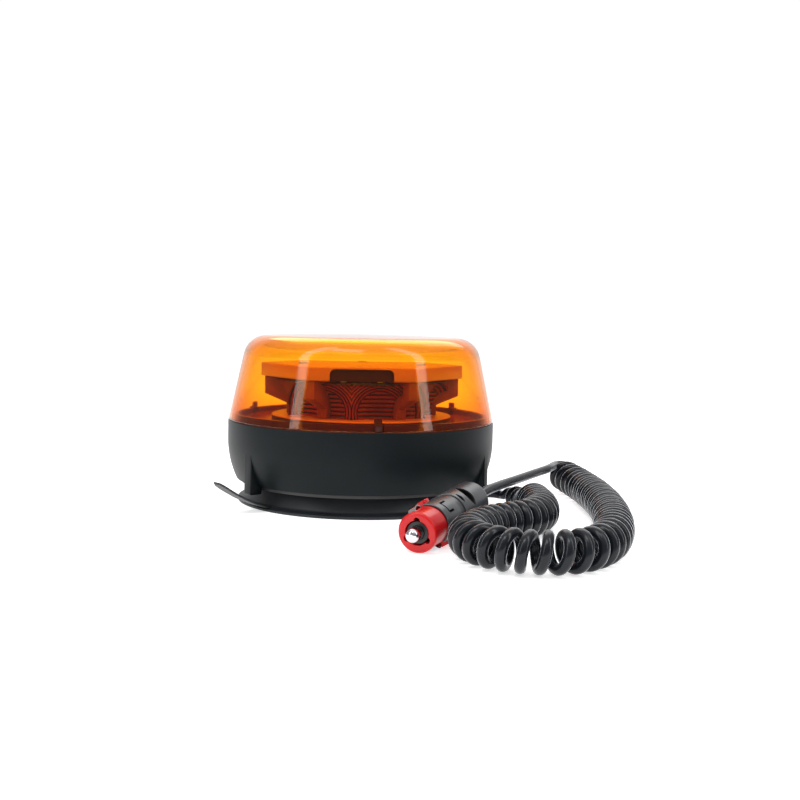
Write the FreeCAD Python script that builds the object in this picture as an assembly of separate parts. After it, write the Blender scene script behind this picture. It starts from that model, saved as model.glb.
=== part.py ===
"""Magnetic warning light: an amber beacon on a magnetic sole, with a curly cord and a vehicle plug.

Millimetres, +Z up, origin at the centre of the sole's lower face. An angle round the beacon is
counted from its front, which faces -Y, towards +X.
"""
import FreeCAD
import Part
import math
import os

from FreeCAD import Vector

# Clearances
FIT = 0.3            # between pieces that come apart or move past each other
SNUG = 0.1           # between pieces that are seated for good

# Housing: a barrel that curves in at the foot, under a flat deck
BODY_R = 85.0
FOOT_IN = 5.6        # how far the foot lies inside the barrel's radius
FOOT_Z = 14.2
BELLY_IN = 2.0
BELLY_Z = 24.0
BARREL_Z = 40.0
DECK_Z = 51.5
DECK_T = 3.0
WALL = 2.8
WIRE_HOLE_R = 9.0
SPIGOT_H = 4.0
SPIGOT_T = 2.0
TONGUE_H = 8.0
TONGUE_W = 4.6
TONGUE_T = 2.0
NIB_H = 4.6
TONGUE_ANGLES = (7.0, 127.0, 247.0)
LEG_ANGLES = (-53.0, 67.0, 187.0)
LEG_IN = 0.3
LEG_W = 8.0
LEG_FOOT_Z = 9.5
LEG_TOP_Z = 46.0

# Lens: a cone with a rounded shoulder and a slightly domed top
LENS_EDGE_IN = 12.0
LENS_EDGE_Z = 104.6
LENS_TOP_Z = 106.0
LENS_SHOULDER_R = 15.0
LENS_WALL = 2.8
LENS_SEAL_W = 1.6
LENS_SEAL_T = 1.2

# Magnet and sole
SOLE_IN = 6.6
SOLE_T = 2.0
SOLE_RIM_T = 1.6
SOLE_RIM_W = 4.4
SOLE_FLANK_Z = 2.8
SOLE_COLLAR_T = 7.5
TAB_ANGLE = -49.0
TAB_LAP = 5.4
TAB_REACH = 31.6
TAB_TIP_Z = 20.0
TAB_T = 1.4
TAB_W = 12.0
TAB_SAG = 2.2
POT_IN = 12.2
POT_T = 2.0
POT_RIM_T = 2.0
POT_CORE_R = 20.0
MAGNET_T = 8.0
MAGNET_GAP = 1.6
BOLT_R = 3.0
BOLT_HEAD_R = 5.0
BOLT_HEAD_H = 4.0

# Base plate that closes the housing
PLATE_T = 3.0
LEDGE_W = 5.6
LEDGE_T = 2.5
BASE_SEAL_W = 3.4
BASE_SEAL_T = 1.5
BOSS_GAP = 1.2
BOSS_R = 4.5
BOSS_ANGLES = (33.0, 123.0, 213.0, 303.0)
SCREW_R = 1.6
SCREW_LENGTH = 14.0
SCREW_HEAD_R = 3.2
SCREW_HEAD_H = 2.0

# Driver board under the deck
BOARD_GAP = 4.5
BOARD_T = 1.6
BOARD_Z = 30.0
POST_IN = 12.0
POST_R = 3.5
POST_ANGLES = (20.0, 140.0, 260.0)
BOARD_SCREW_LENGTH = 8.0
INDUCTOR_R = 10.0
INDUCTOR_HOLE_R = 4.5
INDUCTOR_H = 8.0
INDUCTOR_AT = (-20.0, 2.0)
CAPACITOR_R = 5.0
CAPACITOR_H = 11.0
CAPACITOR_SPOTS = ((20.0, 20.0), (32.0, 14.0), (24.0, -12.0))

# Optical module: base disc, corner brackets, twin reflectors, board with chips, hexagonal cover
DISC_IN = 7.5
DISC_T = 3.5
HEX_IN = 20.0
HEX_Z = 78.6
HEX_H = 8.6
HEX_WALL = 1.8
HEX_TOP_T = 1.2
BRACKET_INNER_IN = 25.0
BRACKET_FOOT_IN = 17.0
BRACKET_HEAD_IN = 3.0
BRACKET_WAIST_Z = 61.5
BRACKET_HEAD_Z = 67.5
BRACKET_W = 7.0
LED_BOARD_T = 1.6
CHIP_SIDE = 3.4
CHIP_T = 0.9
CHIP_IN = 11.8
CHIP_SPREAD = 11.0
BOWL_R = 20.0
BOWL_OUT = 9.0       # how far a bowl's centre lies in front of its reflector
BOWL_SPREAD = 17.0
BOWL_RISE = 4.0
BOWL_SHIFT = 6.0
REFLECTOR_SETBACK = 6.3
REFLECTOR_DEPTH = 17.0
REFLECTOR_W = 40.0
REFLECTOR_GAP = 2.0
SINK_HUB_R = 26.0
SINK_ARM_W = 38.0
SINK_LIP_T = 1.6
SINK_ANGLES = (0.0, 120.0, 240.0)
WINDOW_ROUND = 3.5
COVER_BOSS_R = 3.4
COVER_BOSS_IN = 23.0
COVER_BOSS_ANGLES = (60.0, 180.0, 300.0)
COVER_SCREW_HEAD_R = 2.8
COVER_SCREW_HEAD_H = 1.4
COVER_SCREW_R = 1.4

# Cable boot under the housing's edge
BOOT_ANGLE = 78.0
BOOT_IN = 18.5
BOOT_TIP_IN = 3.0
BOOT_Z = 7.0
BOOT_R = 4.0
BOOT_TIP_R = 3.4
BOOT_COLLAR_R = 4.9
BOOT_COLLAR_T = 1.2

# Cord: a short tail, a curly stretch and a straight lead to the plug
CORD_R = 2.8
COIL_START_R = 7.2
COIL_R = 11.0
CORD_INTO_COIL = 2.0
# Route points are counted from the boot's mouth across the floor; a third number is a height above it
COIL_START_ROUTE = (
    (6.3, 0.0), (19.7, -14.2), (21.5, -38.05))
COIL_ROUTE = (
    (21.5, -38.05), (23.2, -61.0), (21.5, -88.0), (10.5, -109.5), (-6.2, -121.0), (-20.2, -137.0),
    (-28.7, -160.0), (-19.7, -182.5), (3.8, -194.5), (26.8, -187.0), (42.3, -164.0), (51.8, -133.0),
    (58.8, -95.0), (62.8, -55.0), (63.8, -15.0), (62.3, 25.0), (59.3, 61.0))
LEAD_ROUTE = (
    (-5.2, -52.0, 17.4), (6.8, -30.0, 17.6), (18.3, -10.5, 17.6), (29.8, 9.0, 17.9),
    (45.8, 35.5, 18.3), (58.8, 56.0, 18.9))
ARC_SHARE = 0.45     # how much of the shorter run an arc takes at each corner

# Plug: x runs along its axis, 0 at the adapter's front face and positive towards the socket
PLUG_FACE = (-51.6, -148.75, 10.5)   # from the boot's mouth across the floor, and its height
PLUG_YAW = -115.5
PLUG_TILT = 3.4
ADAPTER_R = 10.5
ADAPTER_L = 16.0
ADAPTER_CHAMFER_R = 9.9
ADAPTER_CHAMFER_L = 0.6
ADAPTER_LOBE_R = 1.7
CLIP_ANGLE = 32.0
CLIP_FRONT = 6.0
CLIP_LENGTH = 8.6
CLIP_W = 4.4
CLIP_T = 0.6
CLIP_ROOT_R = 9.4
CLIP_CROWN_R = 12.4
CLIP_TAIL_R = 10.8
CLIP_TRAVEL = 0.8
LUG_L = 10.5
LUG_W = 5.0
LUG_LOW_R = 8.7
LUG_ARM_T = 1.3
LUG_HEAD_L = 5.5
LUG_HEAD_R = 13.0
SHELL_R = 11.4
SHELL_WALL = 4.0
SHELL_BULKHEAD = 2.6
SHELL_SPLIT = 42.5
SHELL_BAND_R = 10.7
SHELL_BAND_L = 6.5
PLUG_L = 80.0
SHELL_TAIL_WALL = 6.0
SHELL_TAIL_ROUND = 4.0
LEAD_INTO_PLUG = 9.0
NOSE_R = 6.0
NOSE_SETBACK = 1.0
NOSE_BORE_STEP = 5.0
NOSE_END = 37.5
NOSE_END_WALL = 1.5
NOSE_FLANGE_R = 7.0
NOSE_FLANGE_T = 3.0
CHAMBER_R = 4.5
NOSE_CONTACT_FRONT = 6.0
NOSE_CONTACT_L = 5.0
NOSE_CONTACT_T = 0.6
PIN_R = 3.6
PIN_REACH = 8.0
PIN_ROUND = 2.9
PIN_FLANGE_R = 4.2
PIN_FLANGE_T = 3.0
PIN_SLIDE_GAP = 0.08
FUSE_R = 2.6
FUSE_L = 20.0
SPRING_WIRE_R = 0.35
SPRING_COIL_R = 2.7
SPRING_TURNS = 4
LATCH_X = 22.0
LATCH_ANGLE = -35.5
LATCH_SPAN = 36.0
LATCH_GROOVE = 1.2
LATCH_ARM = 6.5
LATCH_DEPTH = 0.7
# Place on the axis, angle, length round the shell, reach forwards and reach backwards
SLOT_SMALL = (45.5, -34.0, 6.2, 1.1, 1.1)
SLOT_LARGE = (57.5, -35.0, 14.6, 5.6, 1.8)
SLOT_DEPTH = 3.2

# Levels and radii that follow from the sizes above
FOOT_R = BODY_R - FOOT_IN
BELLY_R = BODY_R - BELLY_IN
LEG_R = BODY_R - LEG_IN
LENS_EDGE_R = BODY_R - LENS_EDGE_IN
SOLE_R = BODY_R - SOLE_IN
SOLE_FLANK_R = SOLE_R - SOLE_RIM_W
TAB_ROOT_R = SOLE_R - TAB_LAP
TAB_TIP_R = SOLE_R + TAB_REACH
POT_R = SOLE_FLANK_R - POT_IN
BOOT_PITCH_R = BODY_R - BOOT_IN
BOOT_TIP_AT = BODY_R - BOOT_TIP_IN
MAGNET_Z = SOLE_T
POT_Z = MAGNET_Z + MAGNET_T
PLATE_Z = POT_Z + POT_T
PLATE_TOP_Z = PLATE_Z + PLATE_T
PLATE_R = FOOT_R - WALL - FIT
LEDGE_Z = PLATE_TOP_Z + BASE_SEAL_T
LEDGE_R = PLATE_R - LEDGE_W
BOSS_PITCH_R = LEDGE_R - BOSS_R - BOSS_GAP
BOARD_R = BOSS_PITCH_R - BOSS_R - BOARD_GAP
POST_PITCH_R = BOARD_R - POST_IN
DECK_UNDER_Z = DECK_Z - DECK_T
DISC_TOP_Z = DECK_Z + DISC_T
LENS_FOOT_Z = DECK_Z + FIT
LENS_SLOPE = (BODY_R - LENS_EDGE_R) / (LENS_EDGE_Z - LENS_FOOT_Z)
BOARD_TOP_Z = BOARD_Z + BOARD_T
LED_BOARD_TOP_Z = HEX_Z + LED_BOARD_T
COVER_TOP_Z = HEX_Z + HEX_H
HEX_R = BODY_R - HEX_IN
HEX_SHARE = math.cos(math.pi / 6)
FACE_REACH = HEX_R * HEX_SHARE
SINK_REACH = FACE_REACH - HEX_WALL - FIT
LED_BOARD_R = (SINK_REACH - SINK_LIP_T - FIT) / HEX_SHARE
COVER_UNDER_Z = COVER_TOP_Z - HEX_TOP_T
SINK_TOP_Z = COVER_UNDER_Z - FIT
DISC_R = HEX_R - DISC_IN
REFLECTOR_FRONT = FACE_REACH - REFLECTOR_SETBACK
REFLECTOR_TOP_Z = HEX_Z - REFLECTOR_GAP
CHIP_REACH = FACE_REACH - CHIP_IN
COVER_BOSS_PITCH_R = HEX_R - COVER_BOSS_IN
HEX_CORNERS = tuple(30.0 + 60.0 * k for k in range(6))
HEX_FACES = tuple(60.0 * k for k in range(6))

UP = Vector(0, 0, 1)
AXIS = Vector(1, 0, 0)
CENTRE = Vector(0, 0, 0)


def at(r, z):
    """A point of an outline that is turned about the beacon's axis."""
    return Vector(r, 0, z)


def along(x, r):
    """A point of an outline that is turned about the plug's axis."""
    return Vector(x, r, 0)


def outline(start, *steps):
    """A closed flat face; a step is a corner, or a pair for an arc: its middle and its end."""
    edges = []
    here = start
    for step in steps + (start,):
        if isinstance(step, tuple):
            middle, there = step
            edges.append(Part.Arc(here, middle, there).toShape())
        else:
            there = step
            if there.distanceToPoint(here) > 0:
                edges.append(Part.LineSegment(here, there).toShape())
        here = there
    return Part.Face(Part.Wire(edges))


def turned(face):
    return face.revolve(CENTRE, UP, 360)


def spun(face):
    return face.revolve(CENTRE, AXIS, 360)


def ring(inner, outer, low, high):
    return turned(outline(at(inner, low), at(outer, low), at(outer, high), at(inner, high)))


def rod(radius, low, high, x=0.0, y=0.0):
    return Part.makeCylinder(radius, high - low, Vector(x, y, low))


def place(radius, angle, z=0.0):
    """A point at a radius and an angle from the front."""
    turn = math.radians(angle)
    return Vector(radius * math.sin(turn), -radius * math.cos(turn), z)


def round_beacon(shape, angle):
    """A shape made at the front, turned to its angle."""
    copy = shape.copy()
    copy.rotate(CENTRE, UP, angle)
    return copy


def front_block(width, near, far, low, high):
    """A block at the front, from radius near to radius far."""
    return Part.makeBox(width, far - near, high - low, Vector(-width / 2, -far, low))


def rods_at(radius, spots, low, high):
    return [rod(radius, low, high, spot.x, spot.y) for spot in spots]


def hexagon(radius, low, high):
    """A six-sided prism with a flat side to the front."""
    corners = [place(radius, angle, low) for angle in HEX_CORNERS]
    return Part.Face(Part.makePolygon(corners + corners[:1])).extrude(Vector(0, 0, high - low))


def fused(first, *others):
    return first.fuse(list(others)).removeSplitter()


def group(solids):
    return Part.makeCompound(solids)


def lens_outer_r(z):
    return BODY_R - LENS_SLOPE * (z - LENS_FOOT_Z)


BOSS_SPOTS = [place(BOSS_PITCH_R, angle) for angle in BOSS_ANGLES]
POST_SPOTS = [place(POST_PITCH_R, angle) for angle in POST_ANGLES]
COVER_SPOTS = [place(COVER_BOSS_PITCH_R, angle) for angle in COVER_BOSS_ANGLES]


def housing():
    """Barrel, deck, lens spigot with tongues, three ribs, seal ledge, screw bosses and board posts."""
    shell = turned(outline(
        at(FOOT_R - WALL, FOOT_Z), at(FOOT_R, FOOT_Z), (at(BELLY_R, BELLY_Z), at(BODY_R, BARREL_Z)),
        at(BODY_R, DECK_Z), at(WIRE_HOLE_R, DECK_Z), at(WIRE_HOLE_R, DECK_UNDER_Z),
        at(BODY_R - WALL, DECK_UNDER_Z), at(BODY_R - WALL, BARREL_Z),
        (at(BELLY_R - WALL, BELLY_Z), at(FOOT_R - WALL, FOOT_Z))))
    spigot_r = lens_outer_r(DECK_Z + SPIGOT_H) - LENS_WALL - 2 * FIT
    spigot = ring(spigot_r - SPIGOT_T, spigot_r, DECK_Z - SNUG, DECK_Z + SPIGOT_H)
    tongue_r = lens_outer_r(DECK_Z + TONGUE_H) - LENS_WALL - 2 * FIT
    nib_r = lens_outer_r(DECK_Z + NIB_H) - FIT
    tongue = front_block(TONGUE_W, tongue_r - TONGUE_T, tongue_r, DECK_Z - SNUG, DECK_Z + TONGUE_H)
    nib = front_block(TONGUE_W, tongue_r - TONGUE_T, nib_r, DECK_Z - SNUG, DECK_Z + NIB_H)
    leg = front_block(LEG_W, FOOT_R - WALL, LEG_R, LEG_FOOT_Z, LEG_TOP_Z)
    ledge = ring(LEDGE_R, BELLY_R - WALL, LEDGE_Z, LEDGE_Z + LEDGE_T)
    ledge = ledge.common(rod(FOOT_R - WALL / 2, LEDGE_Z, LEDGE_Z + LEDGE_T))
    bosses = rods_at(BOSS_R, BOSS_SPOTS, PLATE_TOP_Z, DECK_Z - DECK_T / 2)
    posts = rods_at(POST_R, POST_SPOTS, BOARD_TOP_Z, DECK_Z - DECK_T / 2)
    legs = [round_beacon(leg, angle) for angle in LEG_ANGLES]
    tongues = [round_beacon(fused(tongue, nib), angle) for angle in TONGUE_ANGLES]
    body = fused(shell, spigot, ledge, *(legs + tongues + bosses + posts))
    groove_r = BODY_R - LENS_WALL / 2
    groove = ring(groove_r - LENS_SEAL_W / 2, groove_r + LENS_SEAL_W / 2, DECK_Z - LENS_SEAL_T, DECK_Z + SNUG)
    screw_top = PLATE_Z + SCREW_LENGTH + FIT
    screw_holes = rods_at(SCREW_R + SNUG, BOSS_SPOTS, PLATE_TOP_Z - SNUG, screw_top)
    post_holes = rods_at(SCREW_R + SNUG, POST_SPOTS, BOARD_TOP_Z - SNUG, BOARD_Z + BOARD_SCREW_LENGTH + FIT)
    return body.cut([groove] + screw_holes + post_holes)


def lens_seal():
    groove_r = BODY_R - LENS_WALL / 2
    return ring(groove_r - LENS_SEAL_W / 2, groove_r + LENS_SEAL_W / 2, DECK_Z - LENS_SEAL_T, DECK_Z)


def lens_form(inset):
    """The lens outside, or its hollow when inset by the wall."""
    foot_z = LENS_FOOT_Z - inset
    foot_r = lens_outer_r(foot_z) - inset
    edge_z = LENS_EDGE_Z - inset
    edge_r = lens_outer_r(edge_z) - inset
    top_z = LENS_TOP_Z - inset
    crown = outline(at(0, foot_z), at(foot_r, foot_z), at(edge_r, edge_z),
                    (at(edge_r / 2, edge_z + (top_z - edge_z) * 0.75), at(0, top_z)))
    form = turned(crown)
    level = [e for e in form.Edges if e.BoundBox.ZLength < SNUG]
    rim = [e for e in level if abs(e.BoundBox.ZMin - edge_z) < SNUG]
    return form.makeFillet(LENS_SHOULDER_R - inset, rim)


def lens():
    notch = front_block(TONGUE_W + 2 * FIT, BODY_R / 2, BODY_R + WALL, DECK_Z - WALL, DECK_Z + NIB_H + FIT)
    notches = [round_beacon(notch, angle) for angle in TONGUE_ANGLES]
    return lens_form(0).cut([lens_form(LENS_WALL)] + notches)


def boot_line(radius):
    """A point of the boot's level axis."""
    return place(radius, BOOT_ANGLE, BOOT_Z)


def boot_form(extra):
    """The cable boot: a level taper under the plate and a stem through it, wider by extra all round."""
    out = boot_line(1.0) - boot_line(0.0)
    stem_at = boot_line(BOOT_PITCH_R)
    taper = Part.makeCone(BOOT_R + extra, BOOT_TIP_R + extra, BOOT_TIP_AT - BOOT_PITCH_R, stem_at, out)
    stem = rod(BOOT_R + extra, BOOT_Z, PLATE_TOP_Z + extra, stem_at.x, stem_at.y)
    elbow = Part.makeSphere(BOOT_R + extra, stem_at)
    return fused(taper, stem, elbow)


def cable_boot():
    stem_at = boot_line(BOOT_PITCH_R)
    collar = rod(BOOT_COLLAR_R, PLATE_TOP_Z, PLATE_TOP_Z + BOOT_COLLAR_T, stem_at.x, stem_at.y)
    return fused(boot_form(0), collar)


def base_plate():
    plate = rod(PLATE_R, PLATE_Z, PLATE_TOP_Z)
    heads = rods_at(SCREW_HEAD_R + SNUG, BOSS_SPOTS, PLATE_Z - SNUG, PLATE_Z + SCREW_HEAD_H)
    shanks = rods_at(SCREW_R + SNUG, BOSS_SPOTS, PLATE_Z, PLATE_TOP_Z + SNUG)
    bolt = rod(BOLT_R + SNUG, PLATE_Z - SNUG, PLATE_TOP_Z + SNUG)
    return plate.cut(heads + shanks + [bolt, boot_form(SNUG)])


def base_seal():
    outer = PLATE_R - (LEDGE_W - BASE_SEAL_W) / 2
    return ring(outer - BASE_SEAL_W, outer, PLATE_TOP_Z, LEDGE_Z)


def base_screws():
    heads = rods_at(SCREW_HEAD_R, BOSS_SPOTS, PLATE_Z, PLATE_Z + SCREW_HEAD_H)
    shanks = rods_at(SCREW_R, BOSS_SPOTS, PLATE_Z + SCREW_HEAD_H / 2, PLATE_Z + SCREW_LENGTH)
    return group([fused(head, shank) for head, shank in zip(heads, shanks)])


def magnet_pot():
    """Steel pot: back, rim and core round the ring magnet."""
    pot = turned(outline(
        at(BOLT_R, MAGNET_Z), at(POT_CORE_R, MAGNET_Z), at(POT_CORE_R, POT_Z), at(POT_R - POT_RIM_T, POT_Z),
        at(POT_R - POT_RIM_T, MAGNET_Z), at(POT_R, MAGNET_Z), at(POT_R, PLATE_Z), at(BOLT_R, PLATE_Z)))
    return pot


def magnet_ring():
    return ring(POT_CORE_R + MAGNET_GAP, POT_R - POT_RIM_T - MAGNET_GAP, MAGNET_Z, POT_Z)


def magnet_bolt():
    shank = rod(BOLT_R - SNUG, MAGNET_Z + SNUG, PLATE_TOP_Z + SNUG)
    head = rod(BOLT_HEAD_R, PLATE_TOP_Z, PLATE_TOP_Z + BOLT_HEAD_H)
    return fused(head, shank)


def magnet_sole():
    """Rubber sole: thin rim, sloping flank, collar round the pot, and a pull tab."""
    collar_r = POT_R + SNUG
    collar_z = PLATE_Z - FIT
    sole = turned(outline(
        at(0, 0), at(SOLE_R, 0), at(SOLE_R, SOLE_RIM_T), at(SOLE_FLANK_R, SOLE_FLANK_Z),
        at(collar_r + SOLE_COLLAR_T, collar_z), at(collar_r, collar_z), at(collar_r, SOLE_T), at(0, SOLE_T)))
    root_z = SOLE_RIM_T / 2
    middle_r = (TAB_ROOT_R + TAB_TIP_R) / 2
    middle_z = (root_z + TAB_TIP_Z - TAB_T) / 2 - TAB_SAG
    strip = outline(
        Vector(0, -TAB_ROOT_R, root_z),
        (Vector(0, -middle_r, middle_z), Vector(0, -TAB_TIP_R, TAB_TIP_Z - TAB_T)),
        Vector(0, -TAB_TIP_R, TAB_TIP_Z),
        (Vector(0, -middle_r, middle_z + TAB_T), Vector(0, -TAB_ROOT_R, root_z + TAB_T)))
    strip.translate(Vector(-TAB_W / 2, 0, 0))
    tab = strip.extrude(Vector(TAB_W, 0, 0))
    plan = front_block(TAB_W, 0, TAB_TIP_R, 0, TAB_TIP_Z)
    upright = [e for e in plan.Edges if e.BoundBox.ZLength > TAB_T]
    corners = [e for e in upright if abs(e.BoundBox.YMax + TAB_TIP_R) < SNUG]
    tab = tab.common(plan.makeFillet(TAB_W / 3, corners))
    gap = front_block(2 * (BOOT_R + FIT), POT_R - FIT, BOOT_PITCH_R, BOOT_Z - BOOT_R - FIT, PLATE_Z)
    channel = fused(boot_form(FIT), round_beacon(gap, BOOT_ANGLE))
    return fused(sole, round_beacon(tab, TAB_ANGLE)).cut(channel)


def driver_board():
    board = rod(BOARD_R, BOARD_Z, BOARD_TOP_Z)
    return board.cut(rods_at(SCREW_R + SNUG, POST_SPOTS, BOARD_Z - SNUG, BOARD_TOP_Z + SNUG))


def board_screws():
    heads = rods_at(SCREW_HEAD_R, POST_SPOTS, BOARD_Z - SCREW_HEAD_H, BOARD_Z)
    shanks = rods_at(SCREW_R, POST_SPOTS, BOARD_Z - SCREW_HEAD_H / 2, BOARD_Z + BOARD_SCREW_LENGTH)
    return group([fused(head, shank) for head, shank in zip(heads, shanks)])


def inductor():
    x, y = INDUCTOR_AT
    core = ring(INDUCTOR_HOLE_R, INDUCTOR_R, BOARD_Z - INDUCTOR_H, BOARD_Z)
    core.translate(Vector(x, y, 0))
    return core


def capacitors():
    return group([rod(CAPACITOR_R, BOARD_Z - CAPACITOR_H, BOARD_Z, x, y) for x, y in CAPACITOR_SPOTS])


def module_disc():
    return ring(WIRE_HOLE_R, DISC_R, DECK_Z, DISC_TOP_Z)


def module_brackets():
    """Six dark gussets that carry the board at the corners of the hexagon."""
    inner_r = HEX_R - BRACKET_INNER_IN
    foot_r = HEX_R - BRACKET_FOOT_IN
    head_r = HEX_R - BRACKET_HEAD_IN
    side = outline(
        Vector(0, -inner_r, DISC_TOP_Z), Vector(0, -foot_r, DISC_TOP_Z), Vector(0, -foot_r, BRACKET_WAIST_Z),
        Vector(0, -head_r, BRACKET_HEAD_Z), Vector(0, -head_r, HEX_Z), Vector(0, -inner_r, HEX_Z))
    side.translate(Vector(-BRACKET_W / 2, 0, 0))
    bracket = side.extrude(Vector(BRACKET_W, 0, 0))
    return group([round_beacon(bracket, angle) for angle in HEX_CORNERS])


def reflector():
    """One bay at the front: two bowls side by side that leave a curved V between them."""
    rear = REFLECTOR_FRONT - REFLECTOR_DEPTH
    block = front_block(REFLECTOR_W, rear, REFLECTOR_FRONT, DISC_TOP_Z, REFLECTOR_TOP_Z)
    centre = Vector(-BOWL_SHIFT, -REFLECTOR_FRONT - BOWL_OUT, DISC_TOP_Z + BOWL_RISE)
    bowls = [Part.makeSphere(BOWL_R, centre + AXIS * BOWL_SPREAD * side) for side in (-1, 1)]
    slant = math.radians(HEX_CORNERS[0])
    inset = (BRACKET_W / 2 + FIT) / math.cos(slant)
    back = math.tan(slant) * rear - inset
    front = math.tan(slant) * REFLECTOR_FRONT - inset
    plan = outline(
        Vector(-back, -rear, DISC_TOP_Z), Vector(back, -rear, DISC_TOP_Z),
        Vector(front, -REFLECTOR_FRONT, DISC_TOP_Z), Vector(-front, -REFLECTOR_FRONT, DISC_TOP_Z))
    return block.common(plan.extrude(Vector(0, 0, REFLECTOR_TOP_Z - DISC_TOP_Z))).cut(bowls)


def led_board():
    board = hexagon(LED_BOARD_R, HEX_Z, LED_BOARD_TOP_Z)
    return board.cut(rods_at(COVER_SCREW_R + SNUG, COVER_SPOTS, HEX_Z - SNUG, LED_BOARD_TOP_Z + SNUG))


def led_chips():
    chips = []
    for angle in HEX_FACES:
        for side in (-1, 1):
            chip = front_block(CHIP_SIDE, CHIP_REACH - CHIP_SIDE, CHIP_REACH, HEX_Z - CHIP_T, HEX_Z)
            chip.translate(Vector(side * CHIP_SPREAD, 0, 0))
            chips.append(round_beacon(chip, angle))
    return group(chips)


def heat_sink():
    """Hub on the board with three wide arms whose lips fill the cover's windows."""
    sink = rod(SINK_HUB_R, LED_BOARD_TOP_Z, SINK_TOP_Z)
    arm = front_block(SINK_ARM_W, 0, SINK_REACH, LED_BOARD_TOP_Z, SINK_TOP_Z)
    lip = front_block(SINK_ARM_W, SINK_REACH - SINK_LIP_T, SINK_REACH, HEX_Z, SINK_TOP_Z)
    arms = [round_beacon(piece, angle) for angle in SINK_ANGLES for piece in (arm, lip)]
    return fused(sink, *arms).cut(rods_at(COVER_BOSS_R + FIT, COVER_SPOTS, LED_BOARD_TOP_Z, COVER_TOP_Z))


def hex_cover():
    """Hexagonal cap over the board, with an arched window per heat-sink arm and three screw bosses."""
    inner_r = HEX_R - HEX_WALL / HEX_SHARE
    cap = hexagon(HEX_R, HEX_Z, COVER_TOP_Z).cut(hexagon(inner_r, HEX_Z - SNUG, COVER_UNDER_Z))
    opening = front_block(SINK_ARM_W, SINK_REACH, HEX_R, HEX_Z - SNUG, COVER_UNDER_Z)
    arch = [e for e in opening.Edges if e.BoundBox.YLength > FIT and e.BoundBox.ZMin > COVER_UNDER_Z - SNUG]
    arch = [e for e in arch if e.BoundBox.XLength < SNUG]
    opening = opening.makeFillet(WINDOW_ROUND, arch)
    cap = cap.cut([round_beacon(opening, angle) for angle in SINK_ANGLES])
    bosses = rods_at(COVER_BOSS_R, COVER_SPOTS, LED_BOARD_TOP_Z, COVER_TOP_Z - HEX_TOP_T / 2)
    holes = rods_at(COVER_SCREW_R + SNUG, COVER_SPOTS, HEX_Z, COVER_TOP_Z + SNUG)
    return fused(cap, *bosses).cut(holes)


def cover_screws():
    heads = rods_at(COVER_SCREW_HEAD_R, COVER_SPOTS, COVER_TOP_Z, COVER_TOP_Z + COVER_SCREW_HEAD_H)
    shanks = rods_at(COVER_SCREW_R, COVER_SPOTS, HEX_Z, COVER_TOP_Z + COVER_SCREW_HEAD_H / 2)
    return group([fused(head, shank) for head, shank in zip(heads, shanks)])


def tube(points, radius, name):
    """A round tube along straight runs joined by tangent arcs, as large as the runs allow."""
    edges = []
    here = points[0]
    radii = []
    for k in range(1, len(points) - 1):
        before = (points[k - 1] - points[k])
        after = (points[k + 1] - points[k])
        take = ARC_SHARE * min(before.Length, after.Length)
        before.normalize()
        after.normalize()
        half_turn = (math.pi - before.getAngle(after)) / 2
        bend = take / math.tan(half_turn)
        radii.append(round(bend, 1))
        inward = before + after
        inward.normalize()
        start = points[k] + before * take
        end = points[k] + after * take
        middle = points[k] + inward * (bend / math.cos(half_turn) - bend)
        edges.append(Part.LineSegment(here, start).toShape())
        edges.append(Part.Arc(start, middle, end).toShape())
        here = end
    edges.append(Part.LineSegment(here, points[-1]).toShape())
    path = Part.Wire(edges)
    section = Part.Wire(Part.makeCircle(radius, points[0], points[1] - points[0]))
    pipe = path.makePipeShell([section], True, True)
    ideal = math.pi * radius * radius * path.Length
    share = round(pipe.Volume / ideal, 4)
    print(name, "radii", radii, "length", round(path.Length, 1), "volume share", share)
    return pipe


MOUTH = boot_line(BOOT_TIP_AT)


def from_mouth(x, y, z):
    return Vector(MOUTH.x + x, MOUTH.y + y, z)


def cord_tail():
    run = from_mouth(*COIL_START_ROUTE[0], COIL_START_R) - MOUTH
    return Part.makeCylinder(CORD_R, run.Length + CORD_INTO_COIL, MOUTH, run)


def coil_start():
    return tube([from_mouth(x, y, COIL_START_R) for x, y in COIL_START_ROUTE], COIL_START_R, "coil_start")


def cord_coil():
    return tube([from_mouth(x, y, COIL_R) for x, y in COIL_ROUTE], COIL_R, "cord_coil")


PLUG_FORWARD = Vector(
    math.cos(math.radians(PLUG_TILT)) * math.cos(math.radians(PLUG_YAW)),
    math.cos(math.radians(PLUG_TILT)) * math.sin(math.radians(PLUG_YAW)),
    -math.sin(math.radians(PLUG_TILT)))
PLUG_PLACE = FreeCAD.Placement(
    from_mouth(*PLUG_FACE), FreeCAD.Rotation(PLUG_FORWARD, Vector(), UP, "XZY"))


def on_plug(shape):
    """A shape made along the plug's own axis, put where the plug lies."""
    copy = shape.copy()
    copy.Placement = PLUG_PLACE.multiply(copy.Placement)
    return copy


def plug_point(x):
    return PLUG_PLACE.multVec(Vector(x, 0, 0))


def cord_lead():
    start = plug_point(LEAD_INTO_PLUG - PLUG_L)
    leave = plug_point(-PLUG_L - LEAD_INTO_PLUG)
    return tube([start, leave] + [from_mouth(*point) for point in LEAD_ROUTE], CORD_R, "cord_lead")


def about_axis(shape, angle):
    """A shape made above the plug's axis, turned round it."""
    copy = shape.copy()
    copy.rotate(CENTRE, AXIS, angle)
    return copy


def top_block(back, front, width, low, high):
    """A block above the plug's axis, from x = back to x = front."""
    return Part.makeBox(front - back, width, high - low, Vector(back, -width / 2, low))


CLIP_ANGLES = (CLIP_ANGLE, CLIP_ANGLE + 180.0)


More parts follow.
